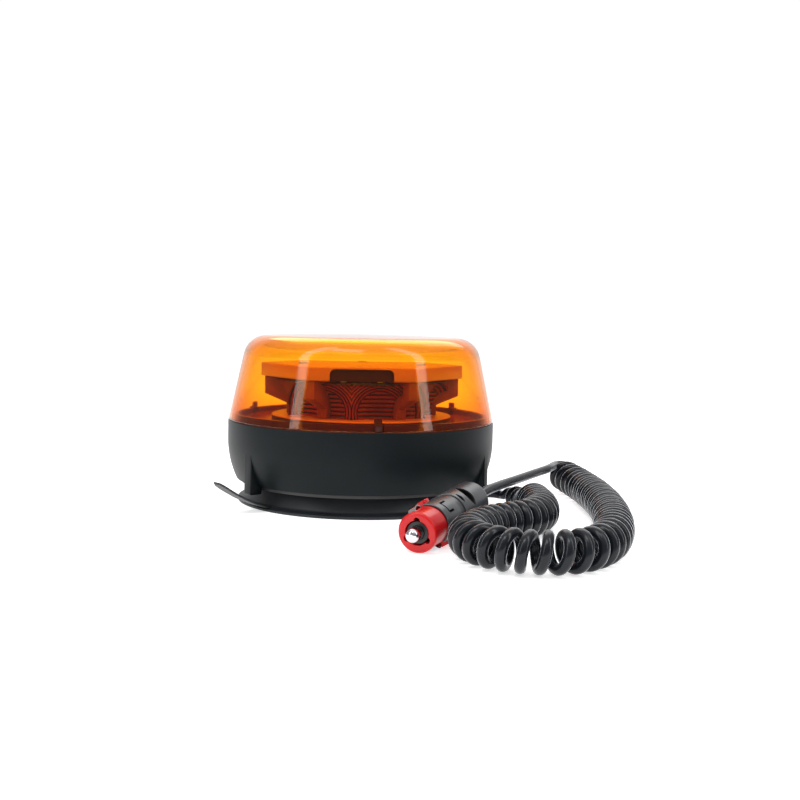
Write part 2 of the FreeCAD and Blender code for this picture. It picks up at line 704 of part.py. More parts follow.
def adapter_ring():
    """Red adapter: chamfered ring with a lobed bore, two clip slots and a lug behind each."""
    bore = NOSE_R + FIT
    body = spun(outline(
        along(0, bore), along(0, ADAPTER_CHAMFER_R), along(-ADAPTER_CHAMFER_L, ADAPTER_R),
        along(-ADAPTER_L, ADAPTER_R), along(-ADAPTER_L, bore)))
    lobe = Part.makeCylinder(ADAPTER_LOBE_R, ADAPTER_L + 2 * FIT, Vector(-ADAPTER_L - FIT, 0, bore), AXIS)
    lobes = [about_axis(lobe, 120.0 * k) for k in range(3)]
    slot_floor = CLIP_ROOT_R - CLIP_T - CLIP_TRAVEL - FIT
    slot_back = -CLIP_FRONT - CLIP_LENGTH - FIT
    slot = top_block(slot_back, -CLIP_FRONT + FIT, CLIP_W + 2 * FIT, slot_floor, LUG_HEAD_R)
    slots = [about_axis(slot, angle) for angle in CLIP_ANGLES]
    lug_end = -ADAPTER_L - LUG_L
    arm = top_block(lug_end, FIT - ADAPTER_L, LUG_W, LUG_LOW_R, LUG_LOW_R + LUG_ARM_T)
    head = top_block(lug_end, lug_end + LUG_HEAD_L, LUG_W, LUG_LOW_R, LUG_HEAD_R)
    lugs = [about_axis(piece, angle) for angle in CLIP_ANGLES for piece in (arm, head)]
    return fused(body, *lugs).cut(lobes + slots)


def side_clip():
    """A bowed spring strip in a slot of the adapter."""
    front = -CLIP_FRONT
    back = front - CLIP_LENGTH
    middle = (front + back) / 2
    strip = outline(
        Vector(front, 0, CLIP_ROOT_R), (Vector(middle, 0, CLIP_CROWN_R), Vector(back, 0, CLIP_TAIL_R)),
        Vector(back, 0, CLIP_TAIL_R - CLIP_T),
        (Vector(middle, 0, CLIP_CROWN_R - CLIP_T), Vector(front, 0, CLIP_ROOT_R - CLIP_T)))
    strip.translate(Vector(0, -CLIP_W / 2, 0))
    return strip.extrude(Vector(0, CLIP_W, 0))


def shell_front():
    """Front half of the plug's handle, with a bulkhead for the nose and an engraved latch outline."""
    front = -ADAPTER_L - FIT
    wall_end = front - SHELL_BULKHEAD
    inner = SHELL_R - SHELL_WALL
    shell = spun(outline(
        along(front, NOSE_R + SNUG), along(front, SHELL_R), along(SHELL_BAND_L - SHELL_SPLIT, SHELL_R),
        along(SHELL_BAND_L - SHELL_SPLIT, SHELL_BAND_R), along(-SHELL_SPLIT, SHELL_BAND_R),
        along(-SHELL_SPLIT, inner), along(wall_end, inner), along(wall_end, NOSE_R + SNUG)))
    band = spun(outline(
        along(-LATCH_X, SHELL_R - LATCH_DEPTH), along(-LATCH_X, SHELL_R + FIT),
        along(-LATCH_X - LATCH_GROOVE, SHELL_R + FIT), along(-LATCH_X - LATCH_GROOVE, SHELL_R - LATCH_DEPTH)))
    half = LATCH_SPAN / 2
    wedge = outline(CENTRE, Vector(0, -SHELL_R * 2 * math.sin(math.radians(half)), SHELL_R * 2),
                    Vector(0, SHELL_R * 2 * math.sin(math.radians(half)), SHELL_R * 2))
    wedge.translate(Vector(-SHELL_SPLIT, 0, 0))
    band = band.common(wedge.extrude(Vector(SHELL_SPLIT, 0, 0)))
    arm = top_block(-LATCH_X - LATCH_ARM, -LATCH_X, LATCH_GROOVE, SHELL_R - LATCH_DEPTH, SHELL_R + FIT)
    arms = [about_axis(arm, side * (half - LATCH_GROOVE)) for side in (-1, 1)]
    grooves = [about_axis(cut, LATCH_ANGLE) for cut in [band] + arms]
    channel = top_block(-ADAPTER_L - LUG_L - FIT, 0, LUG_W + 2 * FIT, LUG_LOW_R - FIT, LUG_HEAD_R)
    channels = [about_axis(channel, angle) for angle in CLIP_ANGLES]
    return shell.cut(grooves + channels)


def slot_pocket(spot):
    """A pointed oval pocket sunk into the rear shell from outside."""
    x, angle, length, ahead, behind = spot
    near = Vector(-x, -length / 2, 0)
    far = Vector(-x, length / 2, 0)
    face = outline(near, (Vector(ahead - x, 0, 0), far), (Vector(-x - behind, 0, 0), near))
    face.translate(Vector(0, 0, SHELL_R - SLOT_DEPTH))
    return about_axis(face.extrude(Vector(0, 0, SHELL_R)), angle)


def shell_rear():
    """Rear half of the handle, with two oval pockets and a rounded end that the lead goes into."""
    inner = SHELL_R - SHELL_WALL
    tail = SHELL_TAIL_WALL - PLUG_L
    hole = CORD_R + SNUG
    corner = SHELL_TAIL_ROUND * (1 - math.sqrt(0.5))
    shell = spun(outline(
        along(-SHELL_SPLIT, inner), along(-SHELL_SPLIT, SHELL_R), along(SHELL_TAIL_ROUND - PLUG_L, SHELL_R),
        (along(corner - PLUG_L, SHELL_R - corner), along(-PLUG_L, SHELL_R - SHELL_TAIL_ROUND)),
        along(-PLUG_L, hole), along(tail, hole), along(tail, inner)))
    return shell.cut([slot_pocket(SLOT_SMALL), slot_pocket(SLOT_LARGE)])


def plug_nose():
    """Insulated nose of the plug: bore for the contact, chamber for the fuse and its spring."""
    front = -NOSE_SETBACK
    flange_front = -ADAPTER_L - FIT - SHELL_BULKHEAD
    end = -NOSE_END
    chamber_end = end + NOSE_END_WALL
    nose = spun(outline(
        along(front, PIN_R + PIN_SLIDE_GAP), along(front, NOSE_R), along(flange_front, NOSE_R),
        along(flange_front, NOSE_FLANGE_R), along(flange_front - NOSE_FLANGE_T, NOSE_FLANGE_R),
        along(flange_front - NOSE_FLANGE_T, NOSE_R), along(end, NOSE_R), along(end, 0),
        along(chamber_end, 0), along(chamber_end, CHAMBER_R), along(-NOSE_BORE_STEP, CHAMBER_R),
        along(-NOSE_BORE_STEP, PIN_R + PIN_SLIDE_GAP)))
    return nose.cut(nose_contact())


def nose_contact():
    back = -NOSE_CONTACT_FRONT - NOSE_CONTACT_L
    return spun(outline(
        along(-NOSE_CONTACT_FRONT, NOSE_R - NOSE_CONTACT_T), along(-NOSE_CONTACT_FRONT, NOSE_R),
        along(back, NOSE_R), along(back, NOSE_R - NOSE_CONTACT_T)))


PIN_STOP = -NOSE_BORE_STEP - SNUG
PIN_BACK = PIN_STOP - PIN_FLANGE_T
FUSE_BACK = PIN_BACK - FUSE_L


def centre_contact():
    """Bright contact with a rounded tip and a stop flange inside the nose."""
    corner = PIN_ROUND * (1 - math.sqrt(0.5))
    return spun(outline(
        along(PIN_REACH, 0), along(PIN_REACH, PIN_R - PIN_ROUND),
        (along(PIN_REACH - corner, PIN_R - corner), along(PIN_REACH - PIN_ROUND, PIN_R)),
        along(PIN_STOP, PIN_R), along(PIN_STOP, PIN_FLANGE_R), along(PIN_BACK, PIN_FLANGE_R),
        along(PIN_BACK, 0)))


def fuse():
    return Part.makeCylinder(FUSE_R, FUSE_L, Vector(FUSE_BACK, 0, 0), AXIS)


def contact_spring():
    """Helical spring between the fuse and the nose's end wall."""
    start = -NOSE_END + NOSE_END_WALL + SPRING_WIRE_R + SNUG
    height = FUSE_BACK - SPRING_WIRE_R - SNUG - start
    pitch = height / SPRING_TURNS
    lean = math.atan2(pitch, 2 * math.pi * SPRING_COIL_R)
    ahead = Vector(0, math.cos(lean), math.sin(lean))
    wire = Part.Wire(Part.makeCircle(SPRING_WIRE_R, AXIS * SPRING_COIL_R, ahead))
    coil = Part.Wire(Part.makeLongHelix(pitch, height, SPRING_COIL_R)).makePipeShell([wire], True, True)
    coil.rotate(CENTRE, Vector(0, 1, 0), 90)
    coil.translate(Vector(start, 0, 0))
    return coil


def plug_pieces():
    pieces = {
        "plug_shell_front": shell_front(),
        "plug_shell_rear": shell_rear(),
        "plug_nose": plug_nose(),
        "nose_contact": nose_contact(),
        "centre_contact": centre_contact(),
        "plug_fuse": fuse(),
        "contact_spring": contact_spring(),
        "adapter_ring": adapter_ring(),
    }
    for k, angle in enumerate(CLIP_ANGLES, 1):
        pieces["side_clip_%d" % k] = about_axis(side_clip(), angle)
    return {name: on_plug(shape) for name, shape in pieces.items()}


def beacon_pieces():
    pieces = {
        "housing": housing(),
        "lens": lens(),
        "lens_seal": lens_seal(),
        "base_plate": base_plate(),
        "base_seal": base_seal(),
        "base_screws": base_screws(),
        "magnet_pot": magnet_pot(),
        "magnet_ring": magnet_ring(),
        "magnet_bolt": magnet_bolt(),
        "magnet_sole": magnet_sole(),
        "driver_board": driver_board(),
        "board_screws": board_screws(),
        "inductor": inductor(),
        "capacitors": capacitors(),
        "module_disc": module_disc(),
        "module_brackets": module_brackets(),
        "led_board": led_board(),
        "led_chips": led_chips(),
        "heat_sink": heat_sink(),
        "hex_cover": hex_cover(),
        "cover_screws": cover_screws(),
        "cable_boot": cable_boot(),
    }
    bay = reflector()
    for k, angle in enumerate(HEX_FACES, 1):
        pieces["reflector_%d" % k] = round_beacon(bay, angle)
    return pieces


def cord_pieces():
    return {
        "cord_tail": cord_tail(),
        "coil_start": coil_start(),
        "cord_coil": cord_coil(),
        "cord_lead": cord_lead(),
    }


os.makedirs("parts", exist_ok=True)
for pieces in (beacon_pieces(), cord_pieces(), plug_pieces()):
    for node, shape in pieces.items():
        shape.exportStep("parts/%s.step" % node)
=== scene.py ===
import math

import bmesh
import bpy
from mathutils import Matrix, Vector


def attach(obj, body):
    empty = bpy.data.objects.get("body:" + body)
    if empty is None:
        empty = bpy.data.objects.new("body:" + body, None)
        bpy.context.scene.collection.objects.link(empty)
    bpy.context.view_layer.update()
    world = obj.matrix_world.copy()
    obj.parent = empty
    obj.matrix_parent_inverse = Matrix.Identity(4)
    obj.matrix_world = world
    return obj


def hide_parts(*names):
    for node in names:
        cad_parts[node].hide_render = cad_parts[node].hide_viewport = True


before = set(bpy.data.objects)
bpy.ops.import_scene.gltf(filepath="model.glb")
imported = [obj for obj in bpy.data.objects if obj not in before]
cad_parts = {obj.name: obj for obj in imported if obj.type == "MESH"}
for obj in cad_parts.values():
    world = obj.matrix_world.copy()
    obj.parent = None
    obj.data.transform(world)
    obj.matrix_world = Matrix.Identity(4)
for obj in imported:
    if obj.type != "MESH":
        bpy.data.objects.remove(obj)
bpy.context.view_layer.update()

# Camera
# The photograph's viewpoint, low and in front, with the beacon a little left of the middle.
# Its place, in metres, and its turns, in degrees, are fitted to the outline of the beacon and the plug.
PIXELS = 800
FOCAL_PIXELS = 1095.26
SENSOR_WIDTH = 36
CAMERA_AT = (0, -0.70496, 0.11956)
YAW, PITCH, ROLL = (math.radians(a) for a in (2.016, 4.5, 1.140))
about_z = Matrix.Rotation(YAW, 3, "Z")
about_x = Matrix.Rotation(PITCH, 3, "X")
about_y = Matrix.Rotation(ROLL, 3, "Y")
right, forward, up = about_y @ about_x @ about_z
camera_data = bpy.data.cameras.new("camera")
camera_data.sensor_width = SENSOR_WIDTH
camera_data.lens = SENSOR_WIDTH * FOCAL_PIXELS / PIXELS
camera = bpy.data.objects.new("camera", camera_data)
facing = Matrix((right, up, -forward)).transposed().to_4x4()
camera.matrix_world = Matrix.Translation(CAMERA_AT) @ facing
bpy.context.scene.collection.objects.link(camera)
bpy.context.scene.camera = camera

# Cord
# Round black cable: a tail out of the boot, a curly stretch on the floor, and a straight lead to the plug.
# The turns are wound by a loop round a smooth line, left-handed, wider apart where the coil is drawn out.
MM = 0.001


def material(name, colour, roughness, metallic=0.0, grain=0.0, grain_scale=900.0, vary=0.12, smudge=0.06,
             specular=0.5):
    """Surface with a mottled colour, uneven roughness and a fine moulded or cast grain."""
    made = bpy.data.materials.new(name)
    made.use_nodes = True
    nodes, links = made.node_tree.nodes, made.node_tree.links
    shader = nodes["Principled BSDF"]
    shader.inputs["Metallic"].default_value = metallic
    shader.inputs["Specular IOR Level"].default_value = specular
    where = nodes.new("ShaderNodeTexCoord")
    cloud = nodes.new("ShaderNodeTexNoise")
    cloud.inputs["Scale"].default_value = 30
    cloud.inputs["Detail"].default_value = 5
    links.new(where.outputs["Object"], cloud.inputs["Vector"])
    tint = nodes.new("ShaderNodeValToRGB")
    tint.color_ramp.elements[0].position = 0.3
    tint.color_ramp.elements[1].position = 0.7
    tint.color_ramp.elements[0].color = [c * (1 - vary) for c in colour] + [1]
    tint.color_ramp.elements[1].color = [min(1, c * (1 + vary)) for c in colour] + [1]
    links.new(cloud.outputs["Fac"], tint.inputs["Fac"])
    links.new(tint.outputs["Color"], shader.inputs["Base Color"])
    wear = nodes.new("ShaderNodeMapRange")
    wear.inputs["To Min"].default_value = max(0.02, roughness - smudge)
    wear.inputs["To Max"].default_value = roughness + smudge
    links.new(cloud.outputs["Fac"], wear.inputs["Value"])
    links.new(wear.outputs["Result"], shader.inputs["Roughness"])
    if grain:
        fine = nodes.new("ShaderNodeTexNoise")
        fine.inputs["Scale"].default_value = grain_scale
        fine.inputs["Detail"].default_value = 3
        links.new(where.outputs["Object"], fine.inputs["Vector"])
        bump = nodes.new("ShaderNodeBump")
        bump.inputs["Strength"].default_value = grain
        bump.inputs["Distance"].default_value = 0.2 * MM
        links.new(fine.outputs["Fac"], bump.inputs["Height"])
        links.new(bump.outputs["Normal"], shader.inputs["Normal"])
    return made


def settle(thing, body, made, slot, *nodes):
    """Gives a piece its material, lets it move with its body and stand for its CAD nodes."""
    thing.data.materials.clear()
    thing.data.materials.append(made)
    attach(thing, body)
    if nodes:
        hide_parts(*nodes)
    return thing


CORD_R = 2.8
COIL_TURN_R = 8.2
COIL_START_TURN_R = 4.4
BOOT_ANGLE = math.radians(78)
BOOT_OUT = Vector((math.sin(BOOT_ANGLE), -math.cos(BOOT_ANGLE), 0))
BOOT_REACH, BOOT_Z = 82, 7
BOOT_MOUTH = BOOT_OUT * BOOT_REACH + Vector((0, 0, BOOT_Z))
# The coil's middle line on the floor, in mm from the boot's mouth.
COIL_ROUTE = [
    (6.3, 0), (19.7, -14.2), (21.5, -38.05), (23.2, -61), (21.5, -88), (10.5, -109.5), (-6.2, -121),
    (-20.2, -137), (-28.7, -160), (-19.7, -182.5), (3.8, -194.5), (26.8, -187), (42.3, -164), (51.8, -133),
    (58.8, -95), (62.8, -55), (63.8, -15), (62.3, 25), (59.3, 61)]
# How far apart the turns are, in mm, at lengths along that line.
PITCH_AT = [
    (0, 6.2), (90, 6.0), (140, 6.6), (185, 7.4), (215, 8.3), (240, 8.7), (265, 8.5), (285, 8.5), (305, 7.8),
    (330, 6.4), (350, 5.9), (425, 5.9), (445, 8), (460, 12), (475, 14.5), (510, 14.5)]
POINTS_PER_TURN = 14
# The first turns grow from nothing, drawn out, and then widen; the strand ends near the top of a turn.
START_TURNS, START_STRETCH = 1.3, 10
WIDENS_AT, WIDENS_OVER = 30, 25
TOP_OF_TURN = 0.93
FLOOR_GAP = 0.05
STRAIGHT_OUT = 5
line_data = bpy.data.curves.new("coil_line", "CURVE")
line_data.dimensions = "3D"
line_data.resolution_u = 32
line = line_data.splines.new("NURBS")
line.points.add(len(COIL_ROUTE) - 1)
for point, (x, y) in zip(line.points, COIL_ROUTE):
    point.co = (BOOT_MOUTH.x + x, BOOT_MOUTH.y + y, 0, 1)
line.order_u = 3
line.use_endpoint_u = True
line_object = bpy.data.objects.new("coil_line", line_data)
bpy.context.scene.collection.objects.link(line_object)
bpy.context.view_layer.update()
line_mesh = bpy.data.meshes.new_from_object(line_object.evaluated_get(bpy.context.evaluated_depsgraph_get()))
axis_points = [v.co.copy() for v in line_mesh.vertices]
bpy.data.objects.remove(line_object)
bpy.data.meshes.remove(line_mesh)


def lengths(points):
    """Length along a row of points at each of them."""
    reach = [0.0]
    for a, b in zip(points, points[1:]):
        reach.append(reach[-1] + (b - a).length)
    return reach


def along(points, reach, s):
    """Point and direction at a length along a row of points."""
    k = next((i for i, d in enumerate(reach) if d >= s and i), len(reach) - 1)
    a, b = points[k - 1], points[k]
    return a.lerp(b, min(1, (s - reach[k - 1]) / (reach[k] - reach[k - 1]))), (b - a).normalized()


def between(pairs, s):
    """Straight-line reading of a list of (place, value)."""
    for (s0, v0), (s1, v1) in zip(pairs, pairs[1:]):
        if s <= s1:
            return v0 + (v1 - v0) * max(0, s - s0) / (s1 - s0)
    return pairs[-1][1]


axis_reach = lengths(axis_points)
START_AT, END_AT = 1.0, axis_reach[-1] - 6
strand_points = [BOOT_MOUTH + BOOT_OUT * x for x in (-STRAIGHT_OUT, 0, STRAIGHT_OUT)]
travel = START_AT
turn = math.pi * 0.5
wound = 0.0
while travel < END_AT or math.cos(turn) < TOP_OF_TURN:
    centre, ahead = along(axis_points, axis_reach, travel)
    widened = min(1, max(0, (travel - WIDENS_AT) / WIDENS_OVER))
    full = COIL_START_TURN_R + (COIL_TURN_R - COIL_START_TURN_R) * widened
    grow = min(1, wound / START_TURNS)
    grow = grow * grow * (3 - 2 * grow)
    radius = full * grow
    side = ahead.cross(Vector((0, 0, 1)))
    height = BOOT_MOUTH.z + (full + CORD_R + FLOOR_GAP - BOOT_MOUTH.z) * grow
    spot = Vector((centre.x, centre.y, height + radius * math.cos(turn)))
    strand_points.append(spot - side * radius * math.sin(turn))
    turn += 2 * math.pi / POINTS_PER_TURN
    wound += 1 / POINTS_PER_TURN
    travel += (between(PITCH_AT, travel) + START_STRETCH * (1 - grow)) / POINTS_PER_TURN
coil_end = strand_points[-1]

# The plug's own axes, ahead, to its side and to its top, and the middle of the ring's front face.
PLUG_YAW, PLUG_TILT = math.radians(-115.5), math.radians(3.4)
PLUG_AHEAD = Vector((math.cos(PLUG_TILT) * math.cos(PLUG_YAW), math.cos(PLUG_TILT) * math.sin(PLUG_YAW),
                     -math.sin(PLUG_TILT)))
PLUG_SIDE = Vector((0, 0, 1)).cross(PLUG_AHEAD).normalized()
PLUG_TOP = PLUG_AHEAD.cross(PLUG_SIDE)
RING_R = 10.5
PLUG_FACE = Vector((BOOT_MOUTH.x - 51.6, BOOT_MOUTH.y - 148.75, RING_R))
PLUG_L = 80.0
# The lead: a bend out of the last turn, counted from its end, and a slack run to the plug.
LEAD_BEND = [(-4, 1, 0.2), (-8, 0, 0.4), (-10.5, -4, 0.5)]
LEAD_ROUTE = [(45.8, 35.5, 18.3), (29.8, 9, 17.9), (18.3, -10.5, 17.6), (6.8, -30, 17.6), (-5.2, -52, 17.4)]
INTO_PLUG = 9
strand_points += [coil_end + Vector(step) for step in LEAD_BEND]
strand_points += [Vector((BOOT_MOUTH.x + x, BOOT_MOUTH.y + y, z)) for x, y, z in LEAD_ROUTE]
strand_points += [PLUG_FACE - PLUG_AHEAD * x for x in (PLUG_L + INTO_PLUG, PLUG_L, PLUG_L - INTO_PLUG)]
# The strand's points are spaced evenly, and smoothed where it leaves the boot and along the lead.
SPACING = 3.3
SMOOTHING = 3
strand_reach = lengths(strand_points)
count = round(strand_reach[-1] / SPACING)
cord_points = [along(strand_points, strand_reach, strand_reach[-1] * k / count)[0] for k in range(count + 1)]
lead_length = strand_reach[-1] - strand_reach[strand_points.index(coil_end)]
lead_start = len(cord_points) - int(lead_length / SPACING) - 3
for again in range(SMOOTHING):
    before = [p.copy() for p in cord_points]
    for k in (*range(2, 5), *range(lead_start, len(cord_points) - 3)):
        cord_points[k] = (before[k - 1] + before[k] * 2 + before[k + 1]) / 4
cord_data = bpy.data.curves.new("cord", "CURVE")
cord_data.dimensions = "3D"
cord_data.resolution_u = 4
cord_data.bevel_depth = CORD_R * MM
cord_data.bevel_resolution = 4
cord_data.use_fill_caps = True
strand = cord_data.splines.new("NURBS")
strand.points.add(len(cord_points) - 1)
for point, place in zip(strand.points, cord_points):
    point.co = (*(place * MM), 1)
strand.order_u = 3
strand.use_endpoint_u = True
cord = bpy.data.objects.new("cord", cord_data)
bpy.context.scene.collection.objects.link(cord)
rubber_cord = material("cord_rubber", (0.006, 0.0075, 0.0105), 0.21, grain=0.1, grain_scale=700, vary=0.25,
                       specular=0.28)
cord_shader = rubber_cord.node_tree.nodes["Principled BSDF"]
cord_shader.inputs["Sheen Weight"].default_value = 0.9
cord_shader.inputs["Sheen Roughness"].default_value = 0.25
cord_shader.inputs["Sheen Tint"].default_value = (0.9, 0.94, 1.0, 1)
settle(cord, "beacon", rubber_cord, "cord", "cord_tail", "coil_start", "cord_coil", "cord_lead")

# Lens
# Clear amber shell of moulded plastic with a rounded shoulder; three notches in its rim take the tongues.
# Turned from a rounded outline; its flank and top stay plain so that the module shows through.
ARC_STEP = math.radians(9)


def rounded(corners):
    """Outline points from (r, z, rounding) corners, each rounding an arc tangent to both sides."""
    points = []
    count = len(corners)
    for k, (r, z, size) in enumerate(corners):
        here = Vector((r, z))
        if not size:
            points.append(here)
            continue
        back = Vector(corners[k - 1][:2]) - here
        ahead_by = Vector(corners[(k + 1) % count][:2]) - here
        back.normalize()
        ahead_by.normalize()
        half = back.angle(ahead_by) / 2
        take = size / math.tan(half)
        middle = here + (back + ahead_by).normalized() * (size / math.sin(half))
        start = here + back * take - middle
        end = here + ahead_by * take - middle
        sweep = start.angle_signed(end)
        steps = max(3, int(abs(sweep) / ARC_STEP))
        for i in range(steps + 1):
            a = -sweep * i / steps
            points.append(middle + Vector((start.x * math.cos(a) - start.y * math.sin(a),
                                           start.x * math.sin(a) + start.y * math.cos(a))))
    return points


def finish_mesh(name, mesh_data, crease=35):
    """Closes, faces outwards and shades a bmesh, and gives it an object."""
    bmesh.ops.remove_doubles(mesh_data, verts=mesh_data.verts, dist=1e-7)
    bmesh.ops.recalc_face_normals(mesh_data, faces=mesh_data.faces)
    mesh = bpy.data.meshes.new(name)
    mesh_data.to_mesh(mesh)
    mesh_data.free()
    mesh.shade_smooth()
    mesh.set_sharp_from_angle(angle=math.radians(crease))
    thing = bpy.data.objects.new(name, mesh)
    bpy.context.scene.collection.objects.link(thing)
    return thing


def turned(name, corners, steps, place=None, crease=35):
    """A closed outline of (radius, height) in mm turned about Z, then moved by place."""
    mesh_data = bmesh.new()
    outline = [mesh_data.verts.new((p.x * MM, 0, p.y * MM)) for p in rounded(corners)]
    sides = zip(outline, outline[1:] + outline[:1])
    edges = [mesh_data.edges.new(ends) for ends in sides if max(v.co.x for v in ends) > 0]
    bmesh.ops.spin(mesh_data, geom=outline + edges, cent=(0, 0, 0), axis=(0, 0, 1), angle=2 * math.pi,
                   steps=steps, use_merge=True)
    if place:
        bmesh.ops.transform(mesh_data, matrix=place, verts=mesh_data.verts)
    return finish_mesh(name, mesh_data, crease)


def turn_to(angle):
    """A turn about the beacon's axis, counted from the front."""
    return Matrix.Rotation(math.radians(angle), 4, "Z")


def block(name, low, high, bevel=0.0, place=None):
    """A box between two corners in mm, its edges rounded."""
    mesh_data = bmesh.new()
    bmesh.ops.create_cube(mesh_data, size=1)
    for v in mesh_data.verts:
        v.co = [MM * (a if c < 0 else b) for c, a, b in zip(v.co, low, high)]
    if bevel:
        bmesh.ops.bevel(mesh_data, geom=mesh_data.edges, offset=bevel * MM, segments=3, profile=0.5,
                        affect="EDGES", material=-1)
    if place:
        bmesh.ops.transform(mesh_data, matrix=place, verts=mesh_data.verts)
    return finish_mesh(name, mesh_data)


def combine(target, others, operation, crease=35):
    """Adds the others to the target, or cuts them from it, and leaves one mesh."""
    for other in others:
        step = target.modifiers.new("step", "BOOLEAN")
        step.operation = operation
        step.solver = "EXACT"
        step.object = other
    bpy.context.view_layer.update()
    result = bpy.data.meshes.new_from_object(target.evaluated_get(bpy.context.evaluated_depsgraph_get()))
    target.modifiers.clear()
    target.data = result
    for other in others:
        bpy.data.objects.remove(other)
    result.shade_smooth()
    result.set_sharp_from_angle(angle=math.radians(crease))
    return target


TONGUE_ANGLES = (7, 127, 247)
NOTCH_HALF, NOTCH_TOP_Z = 2.6, 56.4
LENS_TOP_Z, LENS_WALL = 106, 2.8
DOME_R, DOME_REACH = 1500, 58
# Corners as (radius, height, rounding) in mm, up the outside and down the inside.
LENS_OUTSIDE = [(85, 51.8, 0.5), (83.58, 58, 0), (73, 104.3, 15)]
LENS_INSIDE = [(70.6, 101.5, 13.8), (80.75, 58, 0), (82.2, 51.8, 0.4)]


def dome(top, reach, steps=20):
    """Corners of the shallow dome from its rim to the axis."""
    radii = [reach * (1 - i / steps) for i in range(steps + 1)]
    return [(r, top - DOME_R + math.sqrt(DOME_R ** 2 - r * r), 0) for r in radii]


over = dome(LENS_TOP_Z, DOME_REACH)
under = dome(LENS_TOP_Z - LENS_WALL, DOME_REACH - 2.5)
lens_shape = turned("lens_shell", [*LENS_OUTSIDE, *over, *under[::-1], *LENS_INSIDE], steps=256, crease=40)
notches = []
for angle in TONGUE_ANGLES:
    low, high = (-NOTCH_HALF, -90, 48), (NOTCH_HALF, -70, NOTCH_TOP_Z)
    notches.append(block("notch", low, high, place=turn_to(angle)))
combine(lens_shape, notches, "DIFFERENCE", crease=40)
AMBER_DEEP_Z, AMBER_CLEAR_Z = 52, 74
amber = bpy.data.materials.new("amber_clear")
amber.use_nodes = True
amber_nodes, amber_links = amber.node_tree.nodes, amber.node_tree.links
amber_shader = amber_nodes["Principled BSDF"]
amber_shader.inputs["Transmission Weight"].default_value = 1.0
amber_shader.inputs["IOR"].default_value = 1.49
amber_shader.inputs["Specular IOR Level"].default_value = 0.3
amber_shader.inputs["Specular Tint"].default_value = (0.55, 0.55, 0.55, 1)
amber_where = amber_nodes.new("ShaderNodeTexCoord")
amber_split = amber_nodes.new("ShaderNodeSeparateXYZ")
amber_links.new(amber_where.outputs["Object"], amber_split.inputs["Vector"])
amber_height = amber_nodes.new("ShaderNodeMapRange")
amber_height.inputs["From Min"].default_value = AMBER_DEEP_Z * MM
amber_height.inputs["From Max"].default_value = AMBER_CLEAR_Z * MM
amber_links.new(amber_split.outputs["Z"], amber_height.inputs["Value"])
amber_tint = amber_nodes.new("ShaderNodeValToRGB")
amber_tint.color_ramp.elements[0].color = (1, 0.62, 0.4, 1)
amber_tint.color_ramp.elements[1].color = (1, 0.98, 0.92, 1)
amber_links.new(amber_height.outputs["Result"], amber_tint.inputs["Fac"])
amber_links.new(amber_tint.outputs["Color"], amber_shader.inputs["Base Color"])
amber_haze = amber_nodes.new("ShaderNodeTexNoise")
amber_haze.inputs["Scale"].default_value = 25
amber_links.new(amber_where.outputs["Object"], amber_haze.inputs["Vector"])
amber_rough = amber_nodes.new("ShaderNodeMapRange")
amber_rough.inputs["To Min"].default_value = 0.02
amber_rough.inputs["To Max"].default_value = 0.07
amber_links.new(amber_haze.outputs["Fac"], amber_rough.inputs["Value"])
amber_links.new(amber_rough.outputs["Result"], amber_shader.inputs["Roughness"])
amber_body = amber_nodes.new("ShaderNodeVolumeAbsorption")
amber_body.inputs["Color"].default_value = (1.0, 0.845, 0.0, 1)
amber_body.inputs["Density"].default_value = 900
amber_links.new(amber_body.outputs["Volume"], amber_nodes["Material Output"].inputs["Volume"])
amber_through = amber_nodes.new("ShaderNodeBsdfTransparent")
amber_through.inputs["Color"].default_value = (0.96, 0.94, 0.9, 1)
amber_path = amber_nodes.new("ShaderNodeLightPath")
amber_mix = amber_nodes.new("ShaderNodeMixShader")
amber_links.new(amber_path.outputs["Is Shadow Ray"], amber_mix.inputs["Fac"])
amber_links.new(amber_shader.outputs["BSDF"], amber_mix.inputs[1])
amber_links.new(amber_through.outputs["BSDF"], amber_mix.inputs[2])
amber_links.new(amber_mix.outputs["Shader"], amber_nodes["Material Output"].inputs["Surface"])
settle(lens_shape, "lens", amber, "lens", "lens")

# Housing
# Satin black moulded barrel that curves in at the foot, its deck carrying the lens spigot and three tongues.
# Straight ribs run down its side past the lower edge. A turned shell with ribs, tongues and posts fused on.


def arc(first, middle, last, steps=14):
    """Corners along the arc through three (r, z) points, both ends left out."""
    a, b, c = (Vector(p) for p in (first, middle, last))
    spread = 2 * (a.x * (b.y - c.y) + b.x * (c.y - a.y) + c.x * (a.y - b.y))
    centre = Vector((
        (a.dot(a) * (b.y - c.y) + b.dot(b) * (c.y - a.y) + c.dot(c) * (a.y - b.y)) / spread,
        (a.dot(a) * (c.x - b.x) + b.dot(b) * (a.x - c.x) + c.dot(c) * (b.x - a.x)) / spread))
    start, size = math.atan2(a.y - centre.y, a.x - centre.x), (a - centre).length
    sweep = math.atan2(c.y - centre.y, c.x - centre.x) - start
    angles = [start + sweep * i / steps for i in range(1, steps)]
    return [(centre.x + size * math.cos(t), centre.y + size * math.sin(t), 0) for t in angles]


